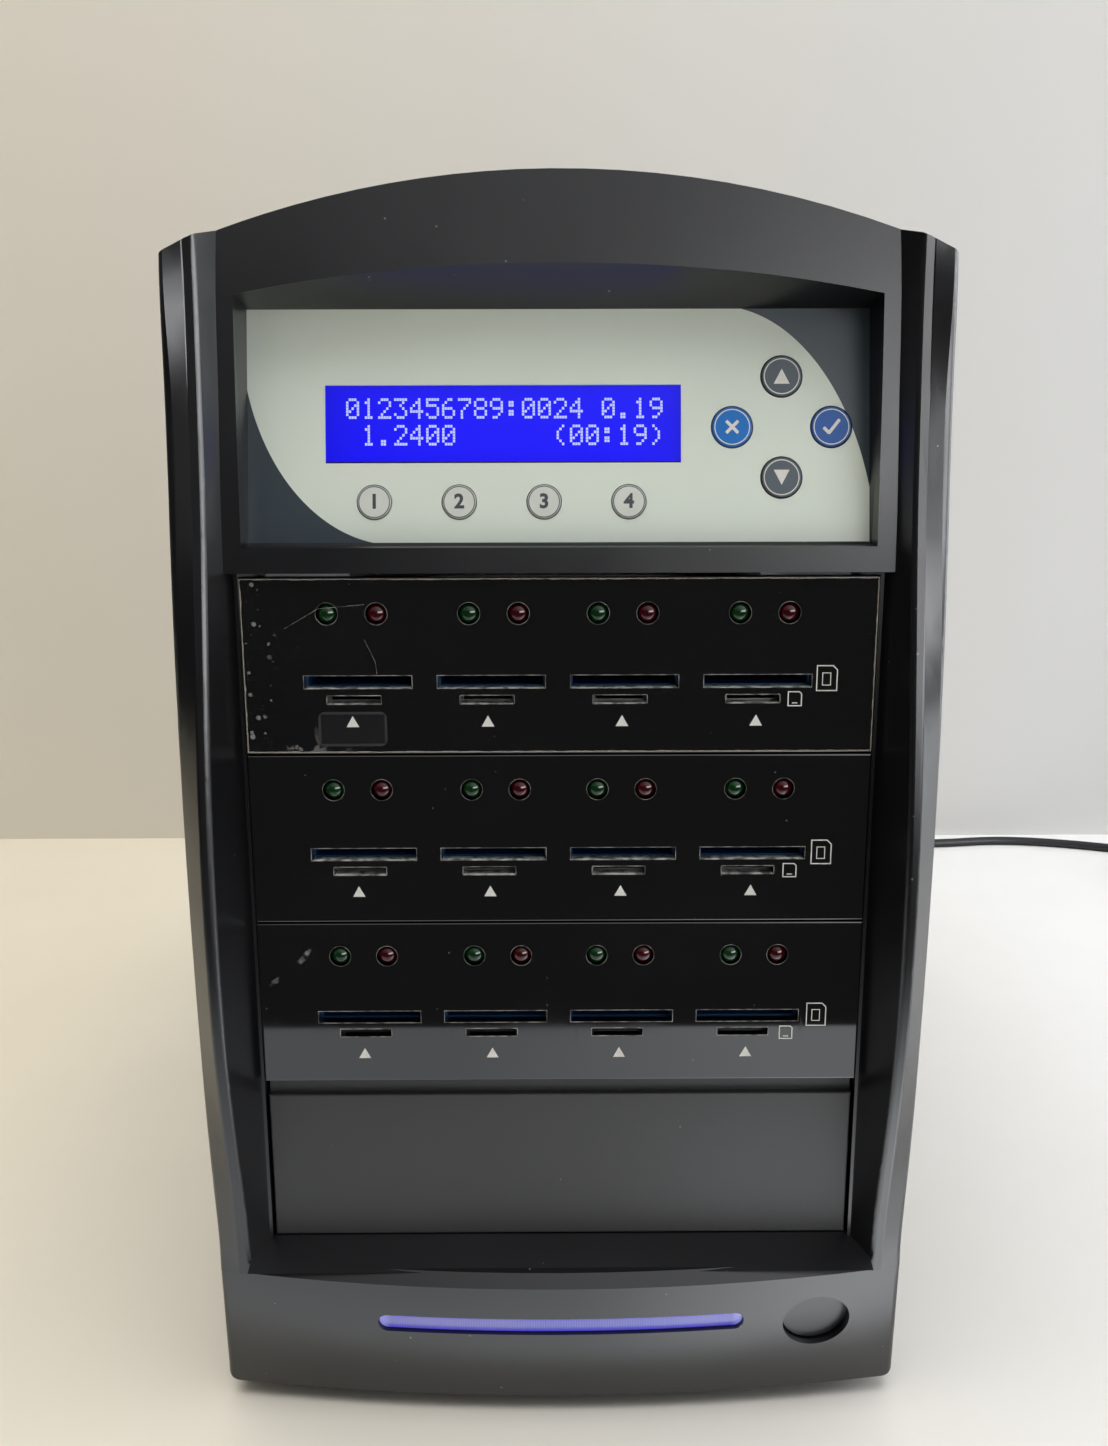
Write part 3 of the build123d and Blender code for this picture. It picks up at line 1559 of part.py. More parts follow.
def rubber_feet():
    """Round tapered feet with a dished underside."""
    top, bottom = foot_radius
    dish_radius, dish_depth = foot_dish
    foot = Pos(0, 0, foot_height / 2) * Cone(bottom, top, foot_height)
    foot = foot - rod_z(0, 0, dish_radius, (-overcut, dish_depth))
    places = [(sx * foot_x, y) for sx in (-1, 1) for y in (bezel_back + foot_inset, rear_y - foot_inset)]
    return group([Pos(x, y, 0) * foot for x, y in places])


# Inner wiring


def swept(section, points, bend):
    """A section swept along straight runs that are joined by tangent bends."""
    path = FilletPolyline(*points, radius=bend)
    start = Plane(origin=points[0], x_dir=(1, 0, 0), z_dir=path % 0)
    return sweep(start * section, path=path)


def reader_cables():
    """Flat cable from each reader board to its header."""
    board_back = panel_thickness + reader_board_setback + reader_board_size[1]
    cables = []
    for index, (x, drop_y) in enumerate(zip(ribbon_places, ribbon_drop_y)):
        z = panel_top(index) - board_drop - reader_board_size[2] / 2
        points = [
            (x, board_back, z), (x, drop_y, z), (x, drop_y, wiring_height),
        (x, controller_front + header_setback, wiring_height),
        ]
        cables.append(swept(Rectangle(ribbon_width, ribbon_thickness), points, ribbon_bend))
    return group(cables)


def panel_cable():
    """Flat cable from the back of the key board to its header."""
    x = panel_ribbon_x
    depth = key_board_depth + key_board_thickness
    start = overlay_plane.from_local_coords((x, panel_ribbon_start, -depth))
    lean = overlay_plane.from_local_coords((x, panel_ribbon_start, -depth - panel_ribbon_lean))
    points = [
        tuple(start), tuple(lean), (x, panel_ribbon_drop_y, lean.Z),
        (x, panel_ribbon_drop_y, wiring_height), (x, controller_front + header_setback, wiring_height),
    ]
    return swept(Rectangle(panel_ribbon_width, ribbon_thickness), points, ribbon_bend)


def wire_leads():
    """Round leads of the light board, the power switch and the power supply."""
    first, second = lead_rise_y
    end_y = controller_front + header_setback
    first_run, second_run = button_lead_runs
    bar_board_back = bar_back + bar_board[1]
    switch_back = power_switch_front + power_switch_size[1]
    supply_end = controller_top + supply_lead_end
    bar_points = [
        (bar_lead_x, bar_board_back, bar_centre_z), (bar_lead_x, first, bar_centre_z),
        (bar_lead_x, first, wiring_height), (bar_lead_x, end_y, wiring_height),
    ]
    button_points = [
        (button_x, switch_back, button_z), (button_x, switch_back + first_run, button_z),
        (button_lead_x, switch_back + second_run, button_z), (button_lead_x, second, button_z),
        (button_lead_x, second, wiring_height), (button_lead_x, end_y, wiring_height),
    ]
    supply_points = [
        (supply_lead_x, supply_front, supply_lead_z), (supply_lead_x, supply_lead_y, supply_lead_z),
        (supply_lead_x, supply_lead_y, supply_end), (supply_lead_x, end_y, supply_end),
    ]
    return group([
        swept(Circle(lead_radius), bar_points, lead_bend),
        swept(Circle(lead_radius), button_points, lead_bend),
        swept(Circle(supply_lead_radius), supply_points, supply_lead_bend),
    ])


# Mains lead


def connector_place(shape):
    """Place a shape drawn about the inlet's axis."""
    return Pos(inlet_x, 0, inlet_z) * shape


def mains_connector():
    """Moulded connector in the inlet, with its grip and its tapering strain relief."""
    grip_start = inlet_face + connector_gap
    grip_end = grip_start + connector_grip[2]
    nose_start = socket_floor + connector_play
    nose = bar_between(
        chamfered(connector_nose[0], connector_nose[1], inlet_corner), (nose_start, grip_start + weld)
    )
    grip = box(centred(0, connector_grip[0]), (grip_start, grip_end), centred(0, connector_grip[1]))
    grip = fillet(grip.edges(), connector_edge_radius)
    wide, narrow = relief_radii
    relief = Rot(-90, 0, 0) * (Pos(0, 0, relief_length / 2) * Cone(wide, narrow, relief_length))
    relief = Pos(0, grip_end, 0) * relief + rod_y(0, 0, narrow, (grip_end - weld, grip_end + weld))
    y_range = past(nose_start, nose_start + pin_size[2])
    slots = [box(centred(x, connector_slot[0]), y_range, centred(z, connector_slot[1])) for x, z in pin_places()]
    return connector_place(union([nose, grip, relief]) - slots)


def cord_points():
    """Corners of the lead's route, from the connector to the start of the coil."""
    start = Vector(inlet_x, connector_end, inlet_z)
    rest = [Vector(x, connector_end + y, z) for x, y, z in cord_route]
    return [start, start + Vector(0, cord_first_run, 0)] + rest


def route_radii(points):
    """The widest even bend that each corner of a route can hold."""
    radii = []
    for before, corner, after in zip(points, points[1:], points[2:]):
        run_in, run_out = corner - before, after - corner
        turn = radians(run_in.get_angle(run_out))
        radii.append(cord_run_share * min(run_in.length, run_out.length) / tan(turn / 2))
    return radii


def cord_path():
    """Centre line of the lead up to the coil."""
    points = cord_points()
    return FilletPolyline(*points, radius=route_radii(points))


def tube(path, radius):
    """A round tube along one unbroken path."""
    start = Plane(origin=path @ 0, z_dir=path % 0)
    return sweep(start * Circle(radius), path=path)


def biarc(start, start_tangent, end, end_tangent):
    """Two arcs that join two places and keep the tangent at both."""
    chord = end - start
    both = start_tangent + end_tangent
    a = 2 * (start_tangent.dot(end_tangent) - 1)
    b = -2 * chord.dot(both)
    c = chord.dot(chord)
    reach = (-b - sqrt(b * b - 4 * a * c)) / (2 * a)
    middle = (start + start_tangent * reach + end - end_tangent * reach) * 0.5
    first = Edge.make_tangent_arc(start, start_tangent, middle)
    second = Edge.make_tangent_arc(middle, first % 1, end)
    return [first, second]


def coil_arcs():
    """The coil's centre line: spiral in on the floor, climb a layer, spiral out and stop."""
    points = cord_points()
    heading = (points[-1] - points[-2]).normalized()
    place = points[-1]
    diameter = 2 * cord_radius
    edges = [Edge.make_line(place, place + heading * diameter)]
    place = place + heading * diameter
    climb = Vector(0, 0, coil_layer_rise)
    level = Vector(0, 0, 0)
    turns = [(radius, level) for radius in coil_radii_in]
    turns.append((coil_climb_radius, climb))
    turns += [(radius, level) for radius in coil_radii_out]
    for radius, rise in turns:
        right = Vector(heading.Y, -heading.X, 0)
        end = place + right * (2 * radius) + rise
        edges += biarc(place, heading, end, -heading)
        place, heading = end, -heading
    right = Vector(heading.Y, -heading.X, 0)
    end = place + (heading + right) * coil_last_radius
    edges += biarc(place, heading, end, right)
    place, heading = end, right
    edges.append(Edge.make_line(place, place + heading * diameter))
    return edges


def coil_end():
    """Where the coil ends and which way it points."""
    last = coil_arcs()[-1]
    return last @ 1, last % 1


def mains_plug():
    """Moulded three-pin plug at the end of the coil, lying on the floor."""
    place, heading = coil_end()
    length, width, height = plug_body
    wide, narrow = relief_radii
    relief = Pos(plug_relief / 2, 0, 0) * Rot(0, 90, 0) * Cone(narrow, wide, plug_relief)
    relief = relief + rod_x(0, 0, narrow, (plug_relief - weld, plug_relief + weld))
    end = plug_relief + length
    body = fillet(box((plug_relief, end), centred(0, width), centred(0, height)).edges(), plug_edge_radius)
    reach, thickness, blade_height = plug_blade
    x_range, z_range = (end - weld, end + reach), centred(plug_blade_drop, blade_height)
    blades = [box(x_range, centred(side * plug_blade_spread, thickness), z_range) for side in (-1, 1)]
    earth_radius, earth_length, earth_drop = plug_earth
    earth = rod_x(0, -earth_drop, earth_radius, (end - weld, end + earth_length))
    plug = union([relief, body, earth] + blades)
    turn = degrees(atan2(heading.Y, heading.X))
    return Pos(place.X, place.Y, place.Z) * Rot(0, 0, turn) * plug


# Every piece, one node each

export("front_bezel", front_bezel())
export("panel_overlay", panel_overlay())
export("control_plate", panel_carrier())
export("lcd_screen", lcd_screen())
export("lcd_board", lcd_board())
export("key_board", key_board())
export("key_switches", key_switches())
for name, place in key_places.items():
    export(name, key(*place))
for index in range(panel_count):
    number = str(index + 1)
    export("card_panel_" + number, card_panel(panel_top(index)))
    export("reader_tray_" + number, reader_tray(panel_top(index)))
    export("reader_board_" + number, reader_board(panel_top(index)))
export("sd_sockets", card_sockets(sd_socket, sd_passage, sd_drop, 0))
export("micro_sockets", card_sockets(micro_socket, micro_passage, micro_drop, micro_shift))
export("green_leds", leds(0))
export("red_leds", leds(led_colour_pitch))
export("bay_blank", bay_blank())
export("light_bar", light_bar())
export("light_bar_board", light_bar_board())
export("power_button", power_button())
export("power_switch", power_switch())
export("chassis_frame", chassis_frame())
export("case_cover", case_cover())
export("bay_bracket_right", bay_bracket())
export("bay_bracket_left", mirrored(bay_bracket()))
export("board_shelf", board_shelf())
export("controller_board", controller_board())
export("controller_parts", controller_parts())
export("heat_sink", heat_sink())
export("standoffs", standoffs())
export("supply_case", supply_case())
export("supply_board", supply_board())
export("fan_frame", fan_frame())
export("fan_rotor", fan_rotor())
export("fan_guard", fan_guard())
export("mains_inlet", mains_inlet())
export("rocker_frame", rocker_frame())
export("mains_rocker", mains_rocker())
export("pan_screws", pan_screws())
export("cover_screws", cover_screws())
export("rubber_feet", rubber_feet())
export("reader_cables", reader_cables())
export("panel_cable", panel_cable())
export("wire_leads", wire_leads())
export("mains_connector", mains_connector())
lead_path = cord_path()
coil_path = Wire(coil_arcs())
export("mains_lead", tube(lead_path, cord_radius))
export("mains_coil", tube(coil_path, cord_radius))
export("mains_plug", mains_plug())

# The lead's measures: its bends, its length and how near the coil comes to itself
print("bends", [round(radius, 1) for radius in route_radii(cord_points())])
print("lead length", round(lead_path.length), "coil length", round(coil_path.length))
section = pi * cord_radius ** 2
for path in (lead_path, coil_path):
    print("volume share", round(tube(path, cord_radius).volume / (section * path.length), 4))
steps = 1200
spots = [coil_path.position_at(step / steps) for step in range(steps + 1)]
pace = coil_path.length / steps
apart = int(neighbour_share * cord_radius / pace)
nearest = min(
    (spots[one] - spots[two]).length for one in range(steps) for two in range(one + apart, steps + 1)
)
print("least gap of the coil to itself", round(nearest - 2 * cord_radius, 3))
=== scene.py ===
"""The looks of a desktop memory card copier, laid out as an add-on and run as a script."""

import math
from collections import namedtuple

import bmesh
import bpy
from bpy.props import FloatProperty, FloatVectorProperty, PointerProperty, StringProperty
from mathutils import Matrix, Vector


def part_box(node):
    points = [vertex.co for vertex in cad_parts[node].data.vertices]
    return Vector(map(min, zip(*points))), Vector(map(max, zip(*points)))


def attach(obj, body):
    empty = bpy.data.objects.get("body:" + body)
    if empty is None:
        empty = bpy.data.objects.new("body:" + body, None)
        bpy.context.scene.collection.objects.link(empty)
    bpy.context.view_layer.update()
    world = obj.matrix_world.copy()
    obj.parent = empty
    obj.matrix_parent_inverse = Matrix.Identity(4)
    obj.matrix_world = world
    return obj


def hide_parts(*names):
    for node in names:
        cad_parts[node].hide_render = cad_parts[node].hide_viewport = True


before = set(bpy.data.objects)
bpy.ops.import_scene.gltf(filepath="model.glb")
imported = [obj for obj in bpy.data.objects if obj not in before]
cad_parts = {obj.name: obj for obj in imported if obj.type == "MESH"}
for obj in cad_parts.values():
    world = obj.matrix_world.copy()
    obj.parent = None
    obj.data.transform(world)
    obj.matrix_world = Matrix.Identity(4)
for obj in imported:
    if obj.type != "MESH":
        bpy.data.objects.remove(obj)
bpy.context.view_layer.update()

bl_info = {
    "name": "Card Copier Looks",
    "version": (1, 0, 0),
    "blender": (4, 5, 0),
    "location": "3D View > Sidebar > Copier",
    "description": "Finishes, printed marks, cord and stage of a desktop memory card copier",
    "category": "Object",
}

UNIT = "unit"
MM = 0.001

# Turns a flat drawing upright, to face the front
UPRIGHT = Matrix.Rotation(math.pi / 2, 4, "X")

# The camera: focal length and frame height in pixels, sensor and place in mm, and pitch, yaw and roll
FOCAL_PIXELS = 1271.0
FRAME_PIXELS = 1446.0
SENSOR_WIDTH = 36.0
CAMERA_PLACE = (-2.8, -441.6, 245.5)
CAMERA_TURNS = (12.25, 0.28, -0.15)

# The table in reflections, in metres: its front and left edge, and where its bright strip ends at the unit
TABLE_FRONT = -0.3646
TABLE_LEFT = -0.42
STRIP_END = -0.172

# What the table's warm left side keeps of each channel, and the wall's colour at its right
WARM_TABLE = (0.91, 0.83, 0.66)
PALE_WALL = (0.75, 0.75, 0.745)

# Lamps: place in metres, size, power and colour
SIDE_LAMP = ((1.15, 0.10, 0.30), 0.8, 4.6, (0.90, 0.95, 1.0))
TOP_LAMP = ((-0.15, -0.25, 1.7), 1.6, 27.0, (1.0, 0.985, 0.96))
LAMP_TARGET = Vector((0.0, 0.0, 0.12))

# The display panel's own frame: its lower edge's middle, and its turn up from flat, 11 degrees from upright
PANEL_FOOT = (0.0, -143.2, 223.8)
PANEL_TURN = math.radians(79.0)

# Ellipses outside which the display panel is printed dark: centre and half axes, in mm on the panel
DARK_CORNERS = {
    "lower left": (-37.72, 49.22, 36.03, 49.81, -1),
    "upper right": (36.68, -6.21, 37.51, 60.89, 1),
}

# Keys on the display panel, in mm: centre across and up the slope, cap radii, height of the numerals, and how
# far out of the panel's face the signs are printed
ROUND_KEYS = {
    "cancel_key": (40.3, 26.6),
    "confirm_key": (63.4, 26.6),
    "up_key": (51.8, 38.3),
    "down_key": (51.8, 14.9),
}
FUNCTION_KEYS = {
    "function_key_one": (-43.0, 9.4),
    "function_key_two": (-23.25, 9.4),
    "function_key_three": (-3.5, 9.4),
    "function_key_four": (16.25, 9.4),
}
ROUND_KEY_RADIUS = 4.7
FUNCTION_KEY_RADIUS = 3.9
NUMERAL_HEIGHT = 4.6
SIGN_OUT = 0.345

# Signs of the round keys, in mm: the strokes' width, each one's length, turn in degrees, middle and share of
# the print's thickness, and the arrows' width and height
STROKE_WIDTH = 0.75
STROKES = {
    "cancel_key": ((4.0, 45.0, (0.0, 0.0), 1.0), (4.0, -45.0, (0.0, 0.0), 1.15)),
    "confirm_key": ((4.2, 51.75, (0.6, 0.05), 1.0), (2.0, -45.0, (-1.15, -0.85), 1.15)),
}
ARROW_SIZE = (3.7, 3.5)

# The mains rocker: its pin, the tilt it is stored with, and the middle and slope of each of its two faces
ROCKER_PIVOT = (41.0, 156.3, 72.0)
ROCKER_TILT = math.radians(12.0)
ROCKER_FACE = (5.3, 4.35)
ROCKER_SLOPE = math.atan2(1.4, 8.7)
ROCKER_BODY = "mains_rocker_body"

# The rocker's signs, in mm: how far out of a face, the bar's length and width, and the ring's width, height,
# corner and line
ROCKER_SIGN_OUT = 0.01
ON_SIGN = (3.6, 0.7)
OFF_SIGN = (3.4, 3.6, 1.65, 0.6)

# Card panels, in mm: top of each, front, centres of the slots, lamps and printed triangles, and drops of the
# last two from a panel's top. A triangle's width is its height times its shape
PANEL_TOPS = (216.3, 174.0, 131.7)
PANEL_FRONT = -148.0
SLOT_CENTRES = (-47.35, -16.05, 15.25, 46.55)
LAMP_CENTRES = (-54.1, -42.6, -21.1, -9.6, 9.0, 20.5, 42.0, 53.5)
LAMP_DROP = 8.5
MARK_CENTRES = (-48.85, -16.95, 14.7, 46.35)
MARK_DROPS = (34.0, 34.0, 34.3)
MARK_SHAPE = 1.11

# The card signs, in mm: width, height and cut corner of each outline, its line, and its places. A frame is
# drawn in the large card and a bar in the small one, each with its shift from the card's middle
LARGE_CARD = (5.0, 6.2, 1.1)
SMALL_CARD = (3.4, 3.6, 0.6)
CARD_LINE = 0.26
LARGE_CARD_FRAME = (2.1, 3.1, 0.2)
LARGE_CARD_SHIFT = (-0.1, -0.2)
SMALL_CARD_BAR = (1.3, 0.25)
SMALL_CARD_SHIFT = (0.0, -1.0)
LARGE_CARD_PLACES = ((62.8, 192.3), (63.2, 149.6), (63.7, 107.3))
SMALL_CARD_PLACES = ((55.4, 187.4), (55.7, 145.0), (56.3, 102.5))

# The large and the small slot of a pair, in mm: shift from the pair's centre, drop from the panel's top, the
# rim's outline, thickness, corner and share of the rim width, opening in the film, and cut edge at the foot.
# The pale rim is a painted edge highlight and the pale strip at the cut edge a painted reflection
Slot = namedtuple("Slot", "shift drop outline thickness corner share opening lip lip_drop")
SLOTS = (
    Slot(0.0, 24.6, (25.6, 3.3), 0.05, 0.0, 1.0, (25.9, 3.6), 24.9, 1.49),
    Slot(-1.05, 28.85, (13.0, 2.3), 0.06, 0.3, 1.2, (13.2, 2.5), 12.2, 0.94),
)
RIM_SINK = 0.02
LIP_DEPTH = 2.8
LIP_THICKNESS = 0.03

# The clear film on the upper card panel, the label on it and its scratches: X and Z, and sizes, in mm
FILM_SIZE = (148.0, 41.2)
FILM_EDGE = (0.28, 0.26)
FILM_DROP = 20.95
FILM_OUT = 0.015
LAMP_OPENING = 2.85
LABEL_CENTRE = (-48.87, 180.47)
LABEL_SIZE = (16.2, 8.3)
LABEL_CORNER = 1.6
LABEL_RIM = 0.7
LABEL_THICKNESS = 0.05
LABEL_OUT = 0.08
SCRATCH_WIDTH = 0.09
SCRATCH_THICKNESS = 0.02
SCRATCH_OUT = 0.075
FILM_SCRATCHES = (
    ((-64.0, 204.4), (-56.1, 209.0), (-45.3, 210.0)),
    ((-45.5, 201.8), (-43.1, 196.5), (-42.8, 193.6)),
)

# Smudges on the lowest card panel: X, Z, length and width in mm, and turn in degrees
SMUDGE_THICKNESS = 0.01
SMUDGE_OUT = 0.005
PANEL_SMUDGES = ((-62.8, 123.2, 4.6, 1.3, 50.0), (-70.4, 116.6, 3.2, 1.2, 35.0))

# Signs of the display, five dots wide and seven high
SIGN_SHAPES = {
    "0": ".###. #...# #..## #.#.# ##..# #...# .###.",
    "1": "..#.. .##.. ..#.. ..#.. ..#.. ..#.. .###.",
    "2": ".###. #...# ....# ...#. ..#.. .#... #####",
    "3": "##### ...#. ..#.. ...#. ....# #...# .###.",
    "4": "...#. ..##. .#.#. #..#. ##### ...#. ...#.",
    "5": "##### #.... ####. ....# ....# #...# .###.",
    "6": "..##. .#... #.... ####. #...# #...# .###.",
    "7": "##### ....# ...#. ..#.. .#... .#... .#...",
    "8": ".###. #...# #...# .###. #...# #...# .###.",
    "9": ".###. #...# #...# .#### ....# ...#. .##..",
    ".": "..... ..... ..... ..... ..... .##.. .##..",
    ":": "..... .##.. .##.. ..... .##.. .##.. .....",
    "(": "...#. ..#.. .#... .#... .#... ..#.. ...#.",
    ")": ".#... ..#.. ...#. ...#. ...#. ..#.. .#...",
}

# The display: its rows, the dots from one sign to the next, and places and sizes in mm on the panel
DISPLAY_ROWS = ("0123456789:0024 0.19", " 1.2400      (00:19)")
SIGN_DOTS = 6
DISPLAY_CENTRE = (-12.95, 27.5)
DISPLAY_HALF = (41.4, 9.05)
DISPLAY_START = (-49.55, 33.65)
DISPLAY_ROW_DROP = 6.2
DOT_PITCH = (0.62, 0.69)
DOT_HEIGHT = 0.04
DOT_OUT = -0.61

# The light bar: its middle's height and its half width and half height, in mm
BAR_MIDDLE = 27.0
BAR_HALF = (46.5, 2.2)

# The cord's route from the connector to the coil, in mm
CORD_ROUTE = (
    (41.0, 216.0, 38.0), (41.0, 246.0, 38.0), (48.0, 282.0, 20.0), (68.0, 317.0, 2.5),
    (110.0, 337.0, 2.5), (156.0, 334.0, 2.5), (198.0, 320.0, 2.5), (240.0, 318.0, 2.5),
    (279.0, 325.5, 2.5), (317.0, 318.5, 2.5), (353.0, 304.5, 2.5), (387.5, 287.9, 2.5),
)

# The coil: radii of its half turns, the one that climbs, how far it climbs, and the last quarter turn
COIL_RADII = (35.5, 32.75, 30.0, 27.25, 24.5, 21.75, 24.5, 27.25, 30.0, 32.75)
COIL_CLIMB = 5
COIL_LAYER = 5.6
COIL_LAST_RADIUS = 41.0
COIL_LEAD_IN = 5.0
HALF_TURN_POINTS = 8

# The strap round the coil, in mm: its middle, outline, corner and thickness, and its buckle's
TIE_PLACE = (347.5, 252.3, 5.5)
TIE_SIZE = (19.6, 10.9, 2.4, 0.55)
BUCKLE_SIZE = (7.0, 3.0, 0.6)
BUCKLE_PLACE = (0.0, 4.4, -0.3)

# The plug: the way it points, and how far back along that from its box's low corner its blades start, in mm
PLUG_HEADING = Vector((-0.434, -0.901, 0.0)).normalized()
BLADE_START = 23.1
BLADE_COLOUR = (0.66, 0.60, 0.46)


def shade(name, text, default):
    return FloatVectorProperty(name=name, description=text, default=default, subtype="COLOR", size=3,
                               min=0.0, max=1.0)


def measure(name, text, default):
    return FloatProperty(name=name, description=text, unit="LENGTH", min=0.0, precision=5, default=default)


class CopierColours(bpy.types.PropertyGroup):
    bezel: shade("Bezel", "Satin black of the front moulding", (0.0045, 0.0045, 0.0055))
    gloss: shade("Card panels", "Gloss black of the card panels", (0.0035, 0.003, 0.0035))
    blank: shade("Blank", "Matt dark grey of the blank bay cover", (0.030, 0.030, 0.031))
    sheet_pale: shade("Panel sheet", "Pale grey-green of the display panel's print", (0.74, 0.81, 0.73))
    sheet_dark: shade("Panel corners", "Dark slate of the display panel's corners", (0.034, 0.047, 0.058))
    display: shade("Display", "Blue of the lit display", (0.002, 0.001, 0.70))
    dots: shade("Display dots", "Pale lavender of the lit dots", (0.50, 0.55, 0.95))
    cancel: shade("Cancel key", "Bright blue", (0.0, 0.16, 0.56))
    confirm: shade("Confirm key", "Deep blue", (0.008, 0.088, 0.36))
    slate: shade("Arrow keys", "Slate grey", (0.062, 0.082, 0.10))
    key_face: shade("Function keys", "Pale grey of the function keys", (0.74, 0.77, 0.72))
    mark: shade("Printed marks", "Off-white of the printed marks", (0.78, 0.78, 0.74))
    bar: shade("Light bar", "Violet-blue of the lit bar", (0.155, 0.165, 0.50))
    green: shade("Green lamps", "Tinted green lens", (0.003, 0.030, 0.006))
    red: shade("Red lamps", "Tinted red lens", (0.042, 0.001, 0.003))
    cord: shade("Cord", "Black of the mains cord", (0.010, 0.010, 0.011))
    steel: shade("Steel", "Zinc-plated sheet steel", (0.56, 0.57, 0.58))
    case: shade("Case", "Fine textured black paint of the case", (0.012, 0.012, 0.013))
    floor: shade("Floor", "Pale table under the object", (0.85, 0.85, 0.85))
    wall: shade("Wall", "Pale wall behind the object", (0.74, 0.70, 0.62))


class CopierSizes(bpy.types.PropertyGroup):
    mark_height: measure("Mark height", "Height of the triangle under each slot", 0.0027)
    print_thickness: measure("Print thickness", "How far a printed mark stands proud", 0.00003)
    dot_share: FloatProperty(name="Dot share", description="Part of its pitch that a display dot fills",
                             subtype="FACTOR", min=0.1, max=1.0, default=0.86)
    film_thickness: measure("Film thickness", "Thickness of the clear film on the upper card panel", 0.00005)
    # The lamps' bright rims and the slots' pale rims are painted edge highlights
    lamp_ring: measure("Lamp ring", "Radius of the bright rim round each lamp", 0.00262)
    lamp_ring_tube: measure("Lamp ring tube", "Radius of that rim's own section", 0.00006)
    slot_rim: measure("Slot rim", "Width of the pale rim round a slot", 0.00016)
    cord_width: measure("Cord", "Diameter of the mains cord", 0.005)
    tie_width: measure("Tie width", "Width of the strap that holds the coil", 0.004)
    floor_reach: measure("Floor", "Half width of the floor", 4.0)
    wall_place: measure("Wall place", "How far behind the origin the wall stands", 0.3435)


# Node trees

def join(value, socket):
    """Links a socket to another, or sets a plain value on it."""
    if isinstance(value, bpy.types.NodeSocket):
        socket.id_data.links.new(value, socket)
    elif socket.type == "RGBA" and len(value) == 3:
        socket.default_value = (*value, 1.0)
    else:
        socket.default_value = value


def node(beside, kind, settings=None, **sockets):
    """A new node in a tree or beside a socket of it. Inputs are named with an underscore for each space."""
    made = beside.id_data.nodes.new("ShaderNode" + kind)
    for name, value in (settings or {}).items():
        setattr(made, name, value)
    for name, value in sockets.items():
        join(value, made.inputs[name.replace("_", " ")])
    return made


def calc(operation, first, *others):
    made = node(first, "Math", {"operation": operation})
    for socket, value in zip(made.inputs, (first, *others)):
        join(value, socket)
    return made.outputs[0]


def times(first, *others):
    for other in others:
        first = calc("MULTIPLY", first, other)
    return first


def plus(first, *others):
    for other in others:
        first = calc("ADD", first, other)
    return first


def tint(share, first, second):
    """Mixes two colours by the share of the second."""
    made = node(share, "Mix", {"data_type": "RGBA"})
    for index, value in ((0, share), (6, first), (7, second)):
        join(value, made.inputs[index])
    return made.outputs[2]


def shades(share, colour, first, second):
    """Goes from a colour times first to the same colour times second."""
    return tint(share, lighter(colour, first), lighter(colour, second))


def spread(value, low, high, start=0.0, end=1.0):
    """Goes from low to high while the value goes from start to end, and stays level outside them."""
    made = node(value, "MapRange", Value=value, From_Min=start, From_Max=end, To_Min=low, To_Max=high)
    return made.outputs[0]


def clouds(place, scale, detail=2.0):
    return node(place, "TexNoise", Vector=place, Scale=scale, Detail=detail).outputs["Fac"]


def cells(place, scale):
    """Random cells: how far a place is from its cell's centre, and the cell's own random channels."""
    made = node(place, "TexVoronoi", Vector=place, Scale=scale).outputs
    return made["Distance"], node(place, "SeparateColor", Color=made["Color"]).outputs


def specks(place, scale, size):
    """Sparse small dots: near a cell's centre, with a size that differs from cell to cell."""
    distance, lot = cells(place, scale)
    return calc("LESS_THAN", distance, times(calc("POWER", lot["Red"], 4.0), size))


def relief(height, strength, distance):
    return node(height, "Bump", Height=height, Strength=strength, Distance=distance).outputs["Normal"]


def local(place, centre, turn=0.0, scale=(1.0, 1.0, 1.0)):
    """Coordinates about a centre, turned about X and divided by scale."""
    made = node(place, "Mapping", {"vector_type": "TEXTURE"}, Vector=place, Location=centre,
                Rotation=(turn, 0.0, 0.0), Scale=scale)
    return made.outputs[0]


def wave(place, scale, distortion=0.0):
    """Even ribs across X."""
    return node(place, "TexWave", Vector=place, Scale=scale, Distortion=distortion).outputs["Fac"]


def axes(vector):
    return node(vector, "SeparateXYZ", Vector=vector).outputs


def reach_of(x, y):
    """How far a place is from the middle."""
    return calc("SQRT", plus(times(x, x), times(y, y)))


def outside(x, y, half_width=0.0, half_height=0.0):
    """How far a place is outside the sides of a rectangle about the middle."""
    sides = [plus(calc("ABSOLUTE", part), -half) for part, half in ((x, half_width), (y, half_height))]
    return calc("MAXIMUM", *sides)


def bands(value, stops):
    """A ramp with hard steps: stops are (where a colour starts, colour)."""
    made = node(value, "ValToRGB", Fac=value)
    ramp = made.color_ramp
    ramp.interpolation = "CONSTANT"
    while len(ramp.elements) < len(stops):
        ramp.elements.new(0.5)
    for element, (start, colour) in zip(ramp.elements, stops):
        element.position = start
        element.color = (*colour, 1.0)
    return made.outputs["Color"]


def feed(material, **levels):
    """Sets or links inputs of the material's shader, named with an underscore for each space."""
    inputs = material.node_tree.nodes["Principled BSDF"].inputs
    for name, value in levels.items():
        join(value, inputs[name.replace("_", " ")])
    return material


def begin(name, **levels):
    """A new material with the given levels set on its shader, and the object's coordinates in it."""
    material = bpy.data.materials.new(name)
    material.use_nodes = True
    feed(material, **levels)
    return material, node(material.node_tree, "TexCoord").outputs["Object"]


def lighter(colour, factor):
    return tuple(min(1.0, part * factor) for part in colour)


